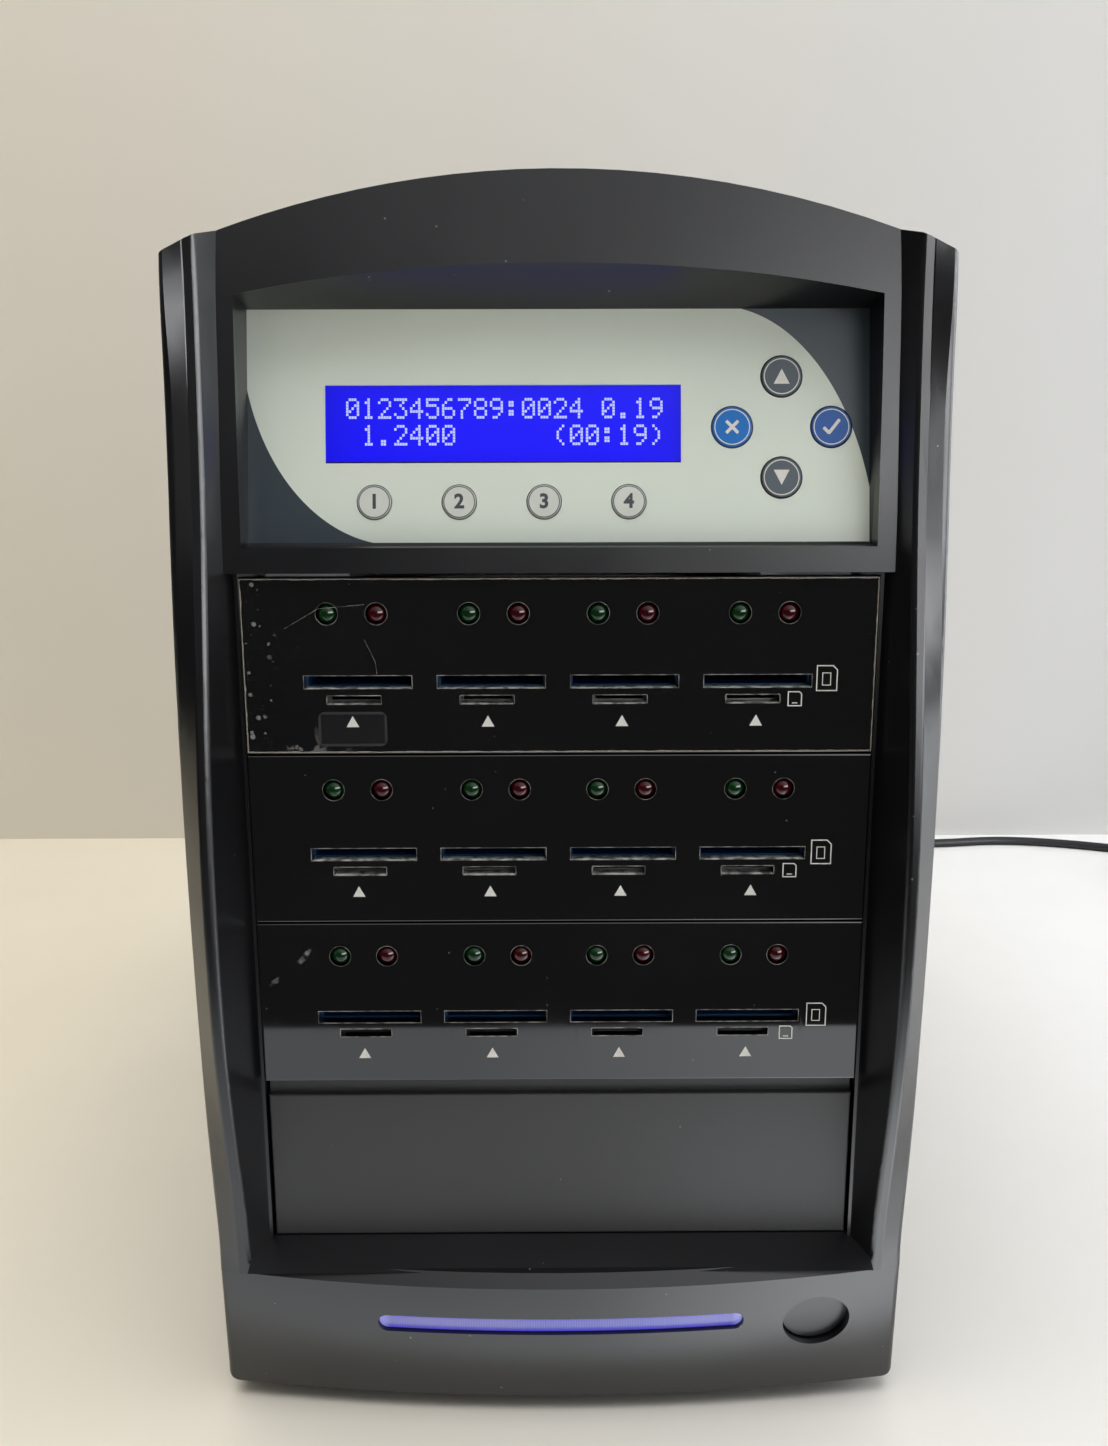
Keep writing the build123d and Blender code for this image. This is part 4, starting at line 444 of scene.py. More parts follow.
def moulded(name, colour, roughness=(0.36, 0.46), grain=2600.0, patch=45.0, drift=0.15, bump=0.12, dust=0.0,
            **levels):
    """Moulded plastic or rubber: fine grain, uneven gloss, a slight drift of colour and a little dust."""
    material, place = begin(name, **levels)
    cloud = clouds(place, patch, 3.0)
    fine = clouds(place, grain)
    base = shades(cloud, colour, 1 - drift, 1 + drift)
    base = tint(times(fine, 0.3), base, lighter(colour, 1.6))
    if dust:
        base = tint(times(specks(place, 260.0, dust), 0.35), base, (0.45, 0.43, 0.40))
    gloss = spread(plus(times(cloud, 0.7), times(fine, 0.3)), *roughness, 0.3, 0.7)
    return feed(material, Base_Color=base, Roughness=gloss, Normal=relief(fine, bump, 0.00012))


def plated(name, colour, roughness=(0.28, 0.42), scale=220.0, grain=(1.0, 1.0, 1.0)):
    """Plated or milled metal: spangled patches and fine marks, which grain draws out along an axis."""
    material, place = begin(name, Metallic=1.0)
    drawn = node(place, "Mapping", Vector=place, Scale=grain).outputs[0]
    lot = cells(drawn, scale)[1]["Green"]
    fine = clouds(drawn, scale * 9)
    share = plus(times(lot, 0.6), times(fine, 0.4))
    return feed(material, Base_Color=shades(lot, colour, 0.86, 1.1),
                Roughness=spread(share, *roughness), Normal=relief(fine, 0.08, 0.00005))


def board(name, colour):
    """Circuit board: solder mask over tracks, with small bright pads."""
    material, place = begin(name, IOR=1.5)
    tracks = node(place, "TexBrick", Vector=place, Scale=260.0, Mortar_Size=0.06).outputs["Fac"]
    pads = calc("LESS_THAN", cells(place, 320.0)[0], 0.16)
    base = shades(tracks, colour, 1.0, 2.2)
    return feed(material, Base_Color=tint(pads, base, (0.62, 0.60, 0.55)), Metallic=times(pads, 0.9),
                Roughness=spread(clouds(place, 90.0), 0.25, 0.45), Normal=relief(tracks, 0.25, 0.00008))


def printed(name, colour):
    """Screen-printed ink, a little thin in places."""
    material, place = begin(name)
    thin = spread(clouds(place, 900.0, 3.0), 0.0, 0.35, 0.45, 0.75)
    return feed(material, Base_Color=shades(thin, colour, 1.0, 0.72),
                Roughness=spread(thin, 0.45, 0.62, 0.0, 0.35))


# Meshes

def move(x, y, z):
    """A matrix that moves by so many mm."""
    return Matrix.Translation(Vector((x, y, z)) * MM)


def on_panel(x, y, out=0.0):
    """From flat drawing to the display panel: x across, y up the slope and out of it, in mm."""
    return move(*PANEL_FOOT) @ Matrix.Rotation(PANEL_TURN, 4, "X") @ move(x, y, out)


def on_front(x, z, out=0.0):
    """From flat drawing to the upright front of the card panels, in mm."""
    return move(x, PANEL_FRONT - out, z) @ UPRIGHT


def cap(bm, faces, thickness):
    """Gives flat faces a thickness."""
    grown = bmesh.ops.extrude_face_region(bm, geom=faces)["geom"]
    raised = [part for part in grown if isinstance(part, bmesh.types.BMVert)]
    bmesh.ops.translate(bm, verts=raised, vec=(0, 0, thickness))


def plate(width, height, thickness, radius=0.0, steps=4, corners=None, rim=None):
    """A flat plate in the drawing plane, its corners rounded, or an open frame where rim gives its width."""
    bm = bmesh.new()
    bmesh.ops.create_grid(bm, x_segments=1, y_segments=1, size=0.5)
    bmesh.ops.scale(bm, vec=(width, height, 1.0), verts=bm.verts)
    if radius:
        bm.verts.ensure_lookup_table()
        chosen = bm.verts[:] if corners is None else [bm.verts[index] for index in corners]
        bmesh.ops.bevel(bm, geom=chosen, offset=radius, segments=steps, profile=0.5, affect="VERTICES",
                        material=-1)
    if rim:
        inner = bmesh.ops.inset_region(bm, faces=bm.faces[:], thickness=rim, use_boundary=True,
                                       use_even_offset=True)["faces"]
        middle = [face for face in bm.faces if face not in inner]
        bmesh.ops.delete(bm, geom=middle, context="FACES")
    cap(bm, bm.faces[:], thickness)
    return bm


def triangle(width, height, thickness):
    """A flat upright triangle about its middle height."""
    bm = bmesh.new()
    bmesh.ops.create_circle(bm, segments=3, radius=1.0, cap_ends=True)
    bmesh.ops.translate(bm, verts=bm.verts, vec=(0, -0.25, 0))
    bmesh.ops.scale(bm, vec=(width / math.sqrt(3), height / 1.5, 1.0), verts=bm.verts)
    cap(bm, bm.faces[:], thickness)
    return bm


def ring(radius, tube):
    """A thin round ring in the drawing plane."""
    bm = bmesh.new()
    start = Matrix.Translation((radius, 0, 0)) @ UPRIGHT
    section = bmesh.ops.create_circle(bm, segments=8, radius=tube, matrix=start)
    edges = list({edge for vert in section["verts"] for edge in vert.link_edges})
    bmesh.ops.spin(bm, geom=section["verts"] + edges, cent=(0, 0, 0), axis=(0, 0, 1), angle=math.tau,
                   steps=28, use_merge=True)
    return bm


def curve_mesh(curve):
    """Makes a curve a mesh for editing, and removes the curve."""
    holder = bpy.data.objects.new(curve.name, curve)
    mesh = bpy.data.meshes.new_from_object(holder)
    bm = bmesh.new()
    bm.from_mesh(mesh)
    bpy.data.objects.remove(holder)
    bpy.data.curves.remove(curve)
    bpy.data.meshes.remove(mesh)
    return bm


def lettering(text, height, thickness):
    """Text as a solid mesh about its own middle."""
    curve = bpy.data.curves.new("numeral", "FONT")
    curve.body = text
    curve.align_x = "CENTER"
    curve.align_y = "CENTER"
    curve.size = height
    curve.offset = height * 0.035
    curve.resolution_u = 4
    curve.extrude = thickness / 2
    bm = curve_mesh(curve)
    bmesh.ops.translate(bm, verts=bm.verts, vec=(0, 0, thickness / 2))
    return bm


def bar(length, width, thickness, turn=0.0, middle=(0.0, 0.0)):
    """A flat bar with rounded ends, turned in the drawing plane and moved to a middle in mm."""
    bm = plate(length, width, thickness, width * 0.3, 3)
    bmesh.ops.transform(bm, matrix=move(*middle, 0.0) @ Matrix.Rotation(turn, 4, "Z"), verts=bm.verts)
    return bm


def numbered(name):
    """The names of the nodes that each card panel has one of."""
    return [f"{name}_{number}" for number in range(1, len(PANEL_TOPS) + 1)]


def stamped(*groups):
    """One mesh of shapes, each at all of its places. Groups are (shape, places)."""
    whole = bmesh.new()
    for shape, places in groups:
        for matrix in places:
            held = bpy.data.meshes.new("stamp")
            shape.to_mesh(held)
            held.transform(matrix)
            whole.from_mesh(held)
            bpy.data.meshes.remove(held)
        shape.free()
    return whole


def place_piece(name, bm, material, body=UNIT, smooth=False):
    """Makes the finished mesh an object of the scene that rides on a body."""
    bmesh.ops.remove_doubles(bm, verts=bm.verts, dist=1e-7)
    bmesh.ops.recalc_face_normals(bm, faces=bm.faces)
    for face in bm.faces:
        face.smooth = smooth
    mesh = bpy.data.meshes.new(name)
    bm.to_mesh(mesh)
    bm.free()
    mesh.materials.append(material)
    made = bpy.data.objects.new(name, mesh)
    bpy.context.scene.collection.objects.link(made)
    if body:
        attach(made, body)
    return made


def dress(material, *names):
    """Gives a finish to CAD nodes."""
    for name in names:
        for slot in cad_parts[name].material_slots:
            slot.material = material


class Step:
    """What every operator of this file shares."""

    bl_options = {"REGISTER"}

    def execute(self, context):
        self.make(context.scene.copier_colours, context.scene.copier_sizes)
        return {"FINISHED"}


class COPIER_OT_stage(Step, bpy.types.Operator):
    """Lay the floor, stand the wall behind, hang the lamps and set the camera"""

    bl_idname = "copier.stage"
    bl_label = "Stage"

    def make(self, colours, sizes):
        scene = bpy.context.scene
        scene.view_settings.view_transform = "Standard"
        reach = sizes.floor_reach
        floor = bmesh.new()
        bmesh.ops.create_grid(floor, x_segments=1, y_segments=1, size=reach)
        place_piece("floor", floor, floor_finish(colours.floor), body=None)
        wall = bmesh.new()
        stand = Matrix.Translation((0, sizes.wall_place, reach / 2)) @ UPRIGHT
        bmesh.ops.create_grid(wall, x_segments=1, y_segments=1, size=reach / 2, matrix=stand)
        place_piece("wall", wall, wall_finish(colours.wall), body=None)
        hang_lamp("side lamp", *SIDE_LAMP)
        top = hang_lamp("top lamp", *TOP_LAMP)
        top.visible_glossy = False
        room_light(scene)
        set_camera(scene)


def floor_finish(colour):
    """Pale table, faintly mottled. In reflections its near strip is bright and the room past it is dark."""
    material, place = begin("pale_table")
    mottle = clouds(place, 14.0, 4.0)
    across, depth, _ = axes(place)
    warm = [part * share for part, share in zip(colour, WARM_TABLE)]
    base = tint(spread(across, 1.0, 0.0, -0.25, 0.25), colour, warm)
    feed(material, Base_Color=tint(spread(mottle, 0.0, 0.05, 0.35, 0.7), base, (0.45, 0.43, 0.40)),
         Roughness=spread(mottle, 0.5, 0.65))
    past = calc("MAXIMUM", calc("LESS_THAN", depth, TABLE_FRONT), calc("LESS_THAN", across, TABLE_LEFT))
    near = plus(spread(depth, 0.84, 1.3, -0.30, -0.20), spread(depth, 0.0, 0.7, -0.19, STRIP_END))
    strip = times(near, spread(across, 0.9, 1.4, -0.04, 0.09))
    corner = times(spread(depth, 0.0, 1.7, -0.30, -0.19), spread(across, 0.0, 1.0, 0.01, 0.09))
    on_table = calc("LESS_THAN", past, 0.5)
    level = plus(times(past, 0.05), times(on_table, plus(strip, corner)))
    reflected(material, level, calc("LESS_THAN", depth, STRIP_END))
    return material


def surface(share, first, second):
    """Mixes two surfaces and lets the material show the mix."""
    mix = node(share, "MixShader", Fac=share)
    join(first, mix.inputs[1])
    join(second, mix.inputs[2])
    join(mix.outputs[0], share.id_data.nodes["Material Output"].inputs["Surface"])
    return mix.outputs[0]


def reflected(material, level, where=1.0):
    """Shows glossy rays an even glow of the given level in place of the material, where asked."""
    glossy = node(level, "LightPath").outputs["Is Glossy Ray"]
    glow = node(level, "Emission", Color=(0.94, 0.97, 1.0), Strength=level).outputs[0]
    plain = material.node_tree.nodes["Principled BSDF"].outputs[0]
    return surface(times(glossy, where), plain, glow)


def wall_finish(colour):
    """Pale wall, clear from behind. In reflections it is dark far to the left and bright far to the right."""
    material, place = begin("pale_wall", Roughness=0.7)
    across, _, _ = axes(place)
    base = tint(spread(across, 0.0, 1.0, -0.3, 0.3), colour, PALE_WALL)
    feed(material, Base_Color=tint(spread(clouds(place, 3.0), 0.0, 0.3), base, lighter(colour, 0.9)))
    level = plus(spread(across, 0.03, 0.6, -0.9, -0.3), spread(across, 0.0, 3.4, 0.7, 1.3))
    front = reflected(material, level)
    behind = node(place, "NewGeometry").outputs["Backfacing"]
    surface(behind, front, node(place, "BsdfTransparent").outputs[0])
    return material


def hang_lamp(name, place, size, power, colour):
    """A square soft lamp that faces the object's middle."""
    lamp = bpy.data.lights.new(name, "AREA")
    lamp.size = size
    lamp.energy = power
    lamp.color = colour
    made = bpy.data.objects.new(name, lamp)
    made.location = place
    made.rotation_euler = (LAMP_TARGET - Vector(place)).to_track_quat("-Z", "Y").to_euler()
    bpy.context.scene.collection.objects.link(made)
    return made


def room_light(scene):
    """Pale to the right and behind, dark to the left and in front, with a window that glossy faces see."""
    world = bpy.data.worlds.new("room")
    scene.world = world
    world.use_nodes = True
    tree = world.node_tree
    side, depth, height = axes(node(tree, "TexCoord").outputs["Generated"])
    right = spread(side, 0.02, 0.80, 0.05, 0.75)
    behind = spread(depth, 0.0, 0.5, 0.0, 0.6)
    above = spread(height, 0.0, 0.35, 0.3, 0.9)
    low = times(spread(height, 1.0, 0.0, 0.22, 0.40), spread(height, 0.0, 1.0, 0.02, 0.12))
    window = times(spread(side, 0.0, 10.0, 0.12, 0.36), spread(depth, 1.0, 0.0, -0.55, -0.25), low)
    ceiling = times(spread(height, 0.0, 0.62, 0.25, 0.5), spread(side, 0.3, 1.0, -0.3, 0.0))
    ray = node(tree, "LightPath").outputs
    level = plus(right, behind, above, times(ray["Is Glossy Ray"], plus(window, ceiling)))
    level = calc("MAXIMUM", times(ray["Is Camera Ray"], 0.78), level)
    background = tree.nodes["Background"]
    join((0.97, 0.98, 1.0), background.inputs["Color"])
    join(level, background.inputs["Strength"])


def set_camera(scene):
    """The photograph's viewpoint."""
    camera = bpy.data.cameras.new("view")
    camera.sensor_width = SENSOR_WIDTH
    camera.lens = SENSOR_WIDTH * FOCAL_PIXELS / FRAME_PIXELS
    camera.clip_start = 0.01
    made = bpy.data.objects.new("view", camera)
    pitch, yaw, roll = (math.radians(angle) for angle in CAMERA_TURNS)
    level = Matrix.Rotation(-yaw, 4, "Z") @ Matrix.Rotation(math.pi / 2 - pitch, 4, "X")
    made.matrix_world = move(*CAMERA_PLACE) @ level @ Matrix.Rotation(roll, 4, "Z")
    scene.collection.objects.link(made)
    scene.camera = made


# The cord

def arc_points(centre, heading, right, radius, count, rise=0.0):
    """Control points of part of a half turn to the right about a centre, which climbs by rise."""
    step_angle = math.pi / HALF_TURN_POINTS
    reach = radius / math.cos(step_angle / 2)
    for step in range(count):
        angle = step_angle * (step + 0.5)
        lift = Vector((0, 0, rise * (step + 0.5) / HALF_TURN_POINTS))
        yield centre + (heading * math.sin(angle) - right * math.cos(angle)) * reach + lift


def coil_points(place, heading):
    """Control points of the put-away coil: spiral in on the floor, climb a layer, spiral out and stop."""
    points = []
    right = Vector((heading.y, -heading.x, 0))
    for number, radius in enumerate(COIL_RADII):
        rise = COIL_LAYER if number == COIL_CLIMB else 0.0
        points += arc_points(place + right * radius, heading, right, radius, HALF_TURN_POINTS, rise)
        place = place + right * (2 * radius) + Vector((0, 0, rise))
        heading, right = -heading, -right
    centre = place + right * COIL_LAST_RADIUS
    points += arc_points(centre, heading, right, COIL_LAST_RADIUS, HALF_TURN_POINTS // 2)
    return points + [centre + heading * COIL_LAST_RADIUS + right * COIL_LEAD_IN]


class COPIER_OT_mains_cord(Step, bpy.types.Operator):
    """Lay the mains cord from its connector to the put-away coil, and tie the coil"""

    bl_idname = "copier.mains_cord"
    bl_label = "Mains cord"

    def make(self, colours, sizes):
        route = [Vector(point) for point in CORD_ROUTE]
        heading = (route[-1] - route[-2]).normalized()
        points = route + coil_points(route[-1] + heading * COIL_LEAD_IN, heading)
        curve = bpy.data.curves.new("mains_cord", "CURVE")
        curve.dimensions = "3D"
        curve.bevel_depth = sizes.cord_width / 2
        curve.bevel_resolution = 5
        curve.resolution_u = 6
        curve.use_fill_caps = True
        spline = curve.splines.new("NURBS")
        spline.points.add(len(points) - 1)
        for control, point in zip(spline.points, points):
            control.co = (*(point * MM), 1.0)
        spline.order_u = 3
        spline.use_endpoint_u = True
        curve.materials.append(moulded("cord_jacket", colours.cord, (0.38, 0.5), 3200.0, 70.0, 0.2, 0.1))
        cord = bpy.data.objects.new("mains_cord", curve)
        bpy.context.scene.collection.objects.link(cord)
        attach(cord, UNIT)
        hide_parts("mains_lead", "mains_coil")
        ends = moulded("cord_ends", lighter(colours.cord, 1.1), (0.3, 0.42), 2200.0, 60.0, 0.2, 0.15)
        dress(ends, "mains_connector")
        dress(plug_finish(colours.cord), "mains_plug")
        self.tie(sizes)

    def tie(self, sizes):
        """A woven strap round the coil's turns, with its flat buckle outside them."""
        length, width, corner, thick = (part * MM for part in TIE_SIZE)
        strap = plate(length, width, sizes.tie_width, corner, 5, rim=thick)
        length, width, corner = (part * MM for part in BUCKLE_SIZE)
        buckle = plate(length, width, sizes.tie_width * 1.15, corner, 3)
        stand = move(*TIE_PLACE) @ UPRIGHT
        tie = stamped((strap, [stand]), (buckle, [stand @ move(*BUCKLE_PLACE)]))
        place_piece("cord_tie", tie, woven("tie_strap"))


def plug_finish(colour):
    """Moulded plug: black body and relief, with plated blades past its face."""
    material, place = begin("plug_and_blades")
    low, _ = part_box("mains_plug")
    across, along, _ = axes(place)
    run = plus(times(across, PLUG_HEADING.x), times(along, PLUG_HEADING.y))
    blade = calc("GREATER_THAN", run, PLUG_HEADING.dot(low) - BLADE_START * MM)
    fine = clouds(place, 2200.0)
    body = shades(fine, colour, 1.0, 1.5)
    return feed(material, Base_Color=tint(blade, body, BLADE_COLOUR), Metallic=blade,
                Roughness=spread(fine, 0.3, 0.44), Normal=relief(fine, 0.12, 0.0001))


def woven(name):
    """Black woven strap: fine ribs across its width."""
    material, place = begin(name)
    rib = wave(place, 500.0, 0.6)
    return feed(material, Base_Color=tint(rib, (0.012, 0.012, 0.013), (0.035, 0.035, 0.037)),
                Roughness=spread(rib, 0.6, 0.85), Normal=relief(rib, 0.5, 0.0002))


# The front

class COPIER_OT_bezel(Step, bpy.types.Operator):
    """Finish the front moulding and the blank bay cover"""

    bl_idname = "copier.bezel"
    bl_label = "Bezel and blank"

    def make(self, colours, sizes):
        bezel = moulded("bezel_satin", colours.bezel, (0.28, 0.36), 2300.0, 30.0, 0.2, 0.10, 0.085, IOR=1.65)
        dress(bezel, "front_bezel")
        blank = moulded("blank_matt", colours.blank, (0.44, 0.54), 1500.0, 26.0, 0.12, 0.3, 0.06, IOR=1.55)
        dress(blank, "bay_blank")
        dress(moulded("inner_black", (0.006, 0.006, 0.007), (0.5, 0.6)), "control_plate")


class COPIER_OT_display_panel(Step, bpy.types.Operator):
    """Print the display panel's sheet and light the display and its digits"""

    bl_idname = "copier.display_panel"
    bl_label = "Display panel"

    def make(self, colours, sizes):
        dress(sheet_print(colours), "panel_overlay")
        dress(display_glass(colours.display), "lcd_screen")
        across, up = (pitch * sizes.dot_share * MM for pitch in DOT_PITCH)
        dots = stamped((plate(across, up, DOT_HEIGHT * MM), self.lit_places()))
        place_piece("display_digits", dots, lit_dots(colours.dots))

    def lit_places(self):
        """The place of each lit dot, sign by sign and row by row."""
        for row, text in enumerate(DISPLAY_ROWS):
            for column, sign in enumerate(text):
                for line, dots in enumerate(SIGN_SHAPES.get(sign, "").split()):
                    for spot, lit in enumerate(dots):
                        if lit == "#":
                            x = DISPLAY_START[0] + (column * SIGN_DOTS + spot + 0.5) * DOT_PITCH[0]
                            y = DISPLAY_START[1] - row * DISPLAY_ROW_DROP - (line + 0.5) * DOT_PITCH[1]
                            yield on_panel(x, y, DOT_OUT)


def sheet_print(colours):
    """Polycarbonate sheet: pale print with two dark corners, each outside an ellipse."""
    material, place = begin("panel_print", IOR=1.5)
    masks = []
    for centre_x, centre_y, half_width, half_height, side in DARK_CORNERS.values():
        centre = on_panel(centre_x, centre_y).translation
        x, y, _ = axes(local(place, centre, PANEL_TURN, (half_width * MM, half_height * MM, 1.0)))
        beyond = [calc("GREATER_THAN", times(part, side), 0.0) for part in (x, y)]
        masks.append(times(calc("GREATER_THAN", reach_of(x, y), 1.0), *beyond))
    fibre = clouds(place, 3400.0)
    pale = shades(clouds(place, 18.0), colours.sheet_pale, 0.93, 1.05)
    slate = shades(fibre, colours.sheet_dark, 0.85, 1.2)
    return feed(material, Base_Color=tint(calc("MAXIMUM", *masks), pale, slate),
                Roughness=spread(fibre, 0.30, 0.42), Normal=relief(fibre, 0.07, 0.00008))


def display_glass(colour):
    """Lit display: even blue that falls off at its edges, with the faint grid of unlit dots and a painted
    shadow along its lower edge.
    """
    material, place = begin("display_lit", Roughness=0.12, Emission_Strength=0.72)
    centre = on_panel(*DISPLAY_CENTRE).translation
    half_width, half_height = DISPLAY_HALF
    x, y, _ = axes(local(place, centre, PANEL_TURN, (half_width * MM, half_height * MM, 1.0)))
    across, up = DOT_PITCH
    grid = node(place, "TexBrick", {"offset": 0.0}, Vector=local(place, centre, PANEL_TURN), Scale=1.0,
                Mortar_Size=0.04 * MM, Brick_Width=across * MM, Row_Height=up * MM).outputs["Fac"]
    lit = shades(times(grid, 0.12), colour, 1.0, 0.6)
    lit = tint(spread(clouds(place, 40.0), 0.0, 0.25), lit, (0.02, 0.012, colour[2] * 0.96))
    lit = tint(times(calc("POWER", outside(x, y), 8.0), 0.5), lit, lighter(colour, 0.55))
    # Painted shadow: a near-black band along the display's lower edge, where the edge of its opening shades
    # it
    lit = tint(calc("LESS_THAN", y, -0.955), lit, (0.002, 0.002, 0.004))
    return feed(material, Base_Color=lit, Emission_Color=lit)


def lit_dots(colour):
    """Lit dots of the display, a little uneven in brightness."""
    material, place = begin("display_dots", Roughness=0.3, Emission_Strength=0.75)
    glow = shades(clouds(place, 260.0), colour, 0.8, 1.1)
    return feed(material, Base_Color=lighter(colour, 0.5), Emission_Color=glow)


def ringed_key(name, key, radius, *stops):
    """Key cap with printed rings about its own centre: stops are (share of the radius, colour)."""
    material, place = begin(name, IOR=1.5)
    x, y, _ = axes(local(place, on_panel(*key).translation, PANEL_TURN, (radius * MM, radius * MM, 1.0)))
    fine = clouds(place, 2600.0)
    rings = bands(times(reach_of(x, y), 0.9), [(share * 0.9, colour) for share, colour in stops])
    # Darker in random patches
    dark_mottle = spread(clouds(place, 160.0), 0.0, 0.16)
    return feed(material, Base_Color=tint(dark_mottle, rings, (0.02, 0.02, 0.025)),
                Roughness=spread(fine, 0.3, 0.42), Normal=relief(fine, 0.06, 0.00008))


class COPIER_OT_keys(Step, bpy.types.Operator):
    """Ring the key caps and print their signs: cross, tick, arrows and plain numerals"""

    bl_idname = "copier.keys"
    bl_label = "Keys"

    def make(self, colours, sizes):
        thick = sizes.print_thickness
        ink = printed("key_ink", colours.mark)
        dark_ink = printed("key_dark_ink", (0.045, 0.055, 0.065))
        faces = (colours.cancel, colours.confirm, colours.slate, colours.slate)
        for (name, key), face in zip(ROUND_KEYS.items(), faces):
            rings = ((0.0, face), (0.83, colours.mark), (0.885, lighter(face, 0.75)))
            dress(ringed_key(name + "_cap", key, ROUND_KEY_RADIUS, *rings), name)
            place = [on_panel(*key, SIGN_OUT)]
            signs = stamped(*((shape, place) for shape in self.signs(name, thick)))
            place_piece(name.replace("_key", "_sign"), signs, ink, name + "_body")
        pale = colours.key_face
        rings = ((0.0, pale), (0.885, (0.085, 0.10, 0.115)), (0.95, lighter(pale, 0.95)))
        for number, (name, key) in enumerate(FUNCTION_KEYS.items(), 1):
            dress(ringed_key(name + "_cap", key, FUNCTION_KEY_RADIUS, *rings), name)
            numeral = lettering(str(number), NUMERAL_HEIGHT * MM, thick)
            numeral = stamped((numeral, [on_panel(*key, SIGN_OUT)]))
            place_piece(name.replace("function_key", "numeral"), numeral, dark_ink, name + "_body")

    def signs(self, name, thick):
        """The flat shapes of a round key's sign."""
        if name in STROKES:
            return [bar(length * MM, STROKE_WIDTH * MM, thick * share, math.radians(turn), middle)
                    for length, turn, middle, share in STROKES[name]]
        width, height = ARROW_SIZE
        arrow = triangle(width * MM, height * MM, thick)
        if name == "down_key":
            bmesh.ops.transform(arrow, matrix=Matrix.Rotation(math.pi, 4, "Z"), verts=arrow.verts)
        return [arrow]


class COPIER_OT_card_panels(Step, bpy.types.Operator):
    """Gloss the card panels, paint highlights on the rims of their lamps and slots and on the slots' feet,
    and finish the sockets behind the slots
    """

    bl_idname = "copier.card_panels"
    bl_label = "Card panels"

    def make(self, colours, sizes):
        dress(gloss_panel(colours.gloss), *numbered("card_panel"))
        dress(moulded("socket_blue", (0.010, 0.060, 0.17), (0.3, 0.42), 1900.0), "sd_sockets")
        dress(plated("socket_shell", (0.16, 0.16, 0.16), (0.3, 0.45), 400.0), "micro_sockets")
        dress(lens("lamp_green", colours.green), "green_leds")
        dress(lens("lamp_red", colours.red), "red_leds")
        # The bright ring round each lamp is a painted highlight of the lamp hole's edge
        places = [on_front(x, top - LAMP_DROP) for top in PANEL_TOPS for x in LAMP_CENTRES]
        rings = stamped((ring(sizes.lamp_ring, sizes.lamp_ring_tube), places))
        ring_highlight = rim_finish("lamp_rim_highlight", (0.16, 0.16, 0.155))
        place_piece("lamp_rims", rings, ring_highlight, smooth=True)
        # The pale rim round each slot is a painted edge highlight
        rims = stamped(*(self.rims(slot, sizes.slot_rim) for slot in SLOTS))
        place_piece("slot_rims", rims, rim_finish("slot_rim", (0.19, 0.19, 0.18)))
        # The pale strip at each slot's foot is a painted reflection on the slot's lower face
        lips = stamped(*(self.lips(slot) for slot in SLOTS))
        place_piece("slot_lip_highlights", lips, rim_finish("cut_edge_highlight", (0.42, 0.44, 0.41)))

    def rims(self, slot, width):
        """The pale rim of one kind of slot, a painted edge highlight, and its places."""
        across, up = slot.outline
        rim = plate(across * MM, up * MM, slot.thickness * MM, slot.corner * MM, 2, rim=width * slot.share)
        return rim, [on_front(x + slot.shift, top - slot.drop, -RIM_SINK)
                     for top in PANEL_TOPS for x in SLOT_CENTRES]

    def lips(self, slot):
        """The pale strip at the foot of one kind of slot, a painted reflection on the slot's lower face, and
        its places in the two upper panels.
        """
        lip = plate(slot.lip * MM, LIP_DEPTH * MM, LIP_THICKNESS * MM)
        middle = PANEL_FRONT + RIM_SINK + LIP_DEPTH / 2
        return lip, [move(x + slot.shift, middle, top - slot.drop - slot.lip_drop)
                     for top in PANEL_TOPS[:2] for x in SLOT_CENTRES]


def gloss_panel(colour):
    """Gloss black acrylic with fine dust, faint smears and hairline scratches."""
    material, place = begin("panel_gloss", IOR=1.62, Specular_IOR_Level=0.85)
    smear = spread(clouds(place, 24.0, 5.0), 0.0, 1.0, 0.5, 0.72)
    drawn = node(place, "Mapping", Vector=place, Rotation=(0.0, 0.6, 0.0), Scale=(1.0, 1.0, 0.05)).outputs[0]
    hair = spread(clouds(drawn, 900.0), 0.0, 1.0, 0.68, 0.74)
    base = shades(times(smear, 0.35), colour, 1.0, 2.2)
    return feed(material, Base_Color=tint(times(specks(place, 330.0, 0.07), 0.3), base, (0.5, 0.48, 0.46)),
                Roughness=plus(spread(smear, 0.035, 0.11), times(hair, 0.05)))


def lens(name, colour):
    """Tinted lamp lens, cloudy in tone, painted a little darker where its dome turns away from the view: a
    painted shade that follows the view.
    """
    material, place = begin(name, IOR=1.5, Roughness=0.05)
    # Painted shade: where the lens faces away from the view its colour is a little darker than its middle on
    # average
    rim = node(place, "LayerWeight", Blend=0.35).outputs["Facing"]
    core = shades(clouds(place, 700.0), colour, 0.7, 1.25)
    return feed(material, Base_Color=tint(rim, core, lighter(colour, 0.8)))


def rim_finish(name, colour):
    """Painted highlight on an edge: light in places and dull in others."""
    material, place = begin(name)
    # Patches of painted highlight: the edge's colour made lighter or duller from place to place
    highlight_patches = spread(clouds(place, 420.0, 3.0), 0.0, 1.0, 0.4, 0.62)
    return feed(material, Base_Color=shades(highlight_patches, colour, 0.25, 1.9),
                Roughness=spread(highlight_patches, 0.5, 0.2))


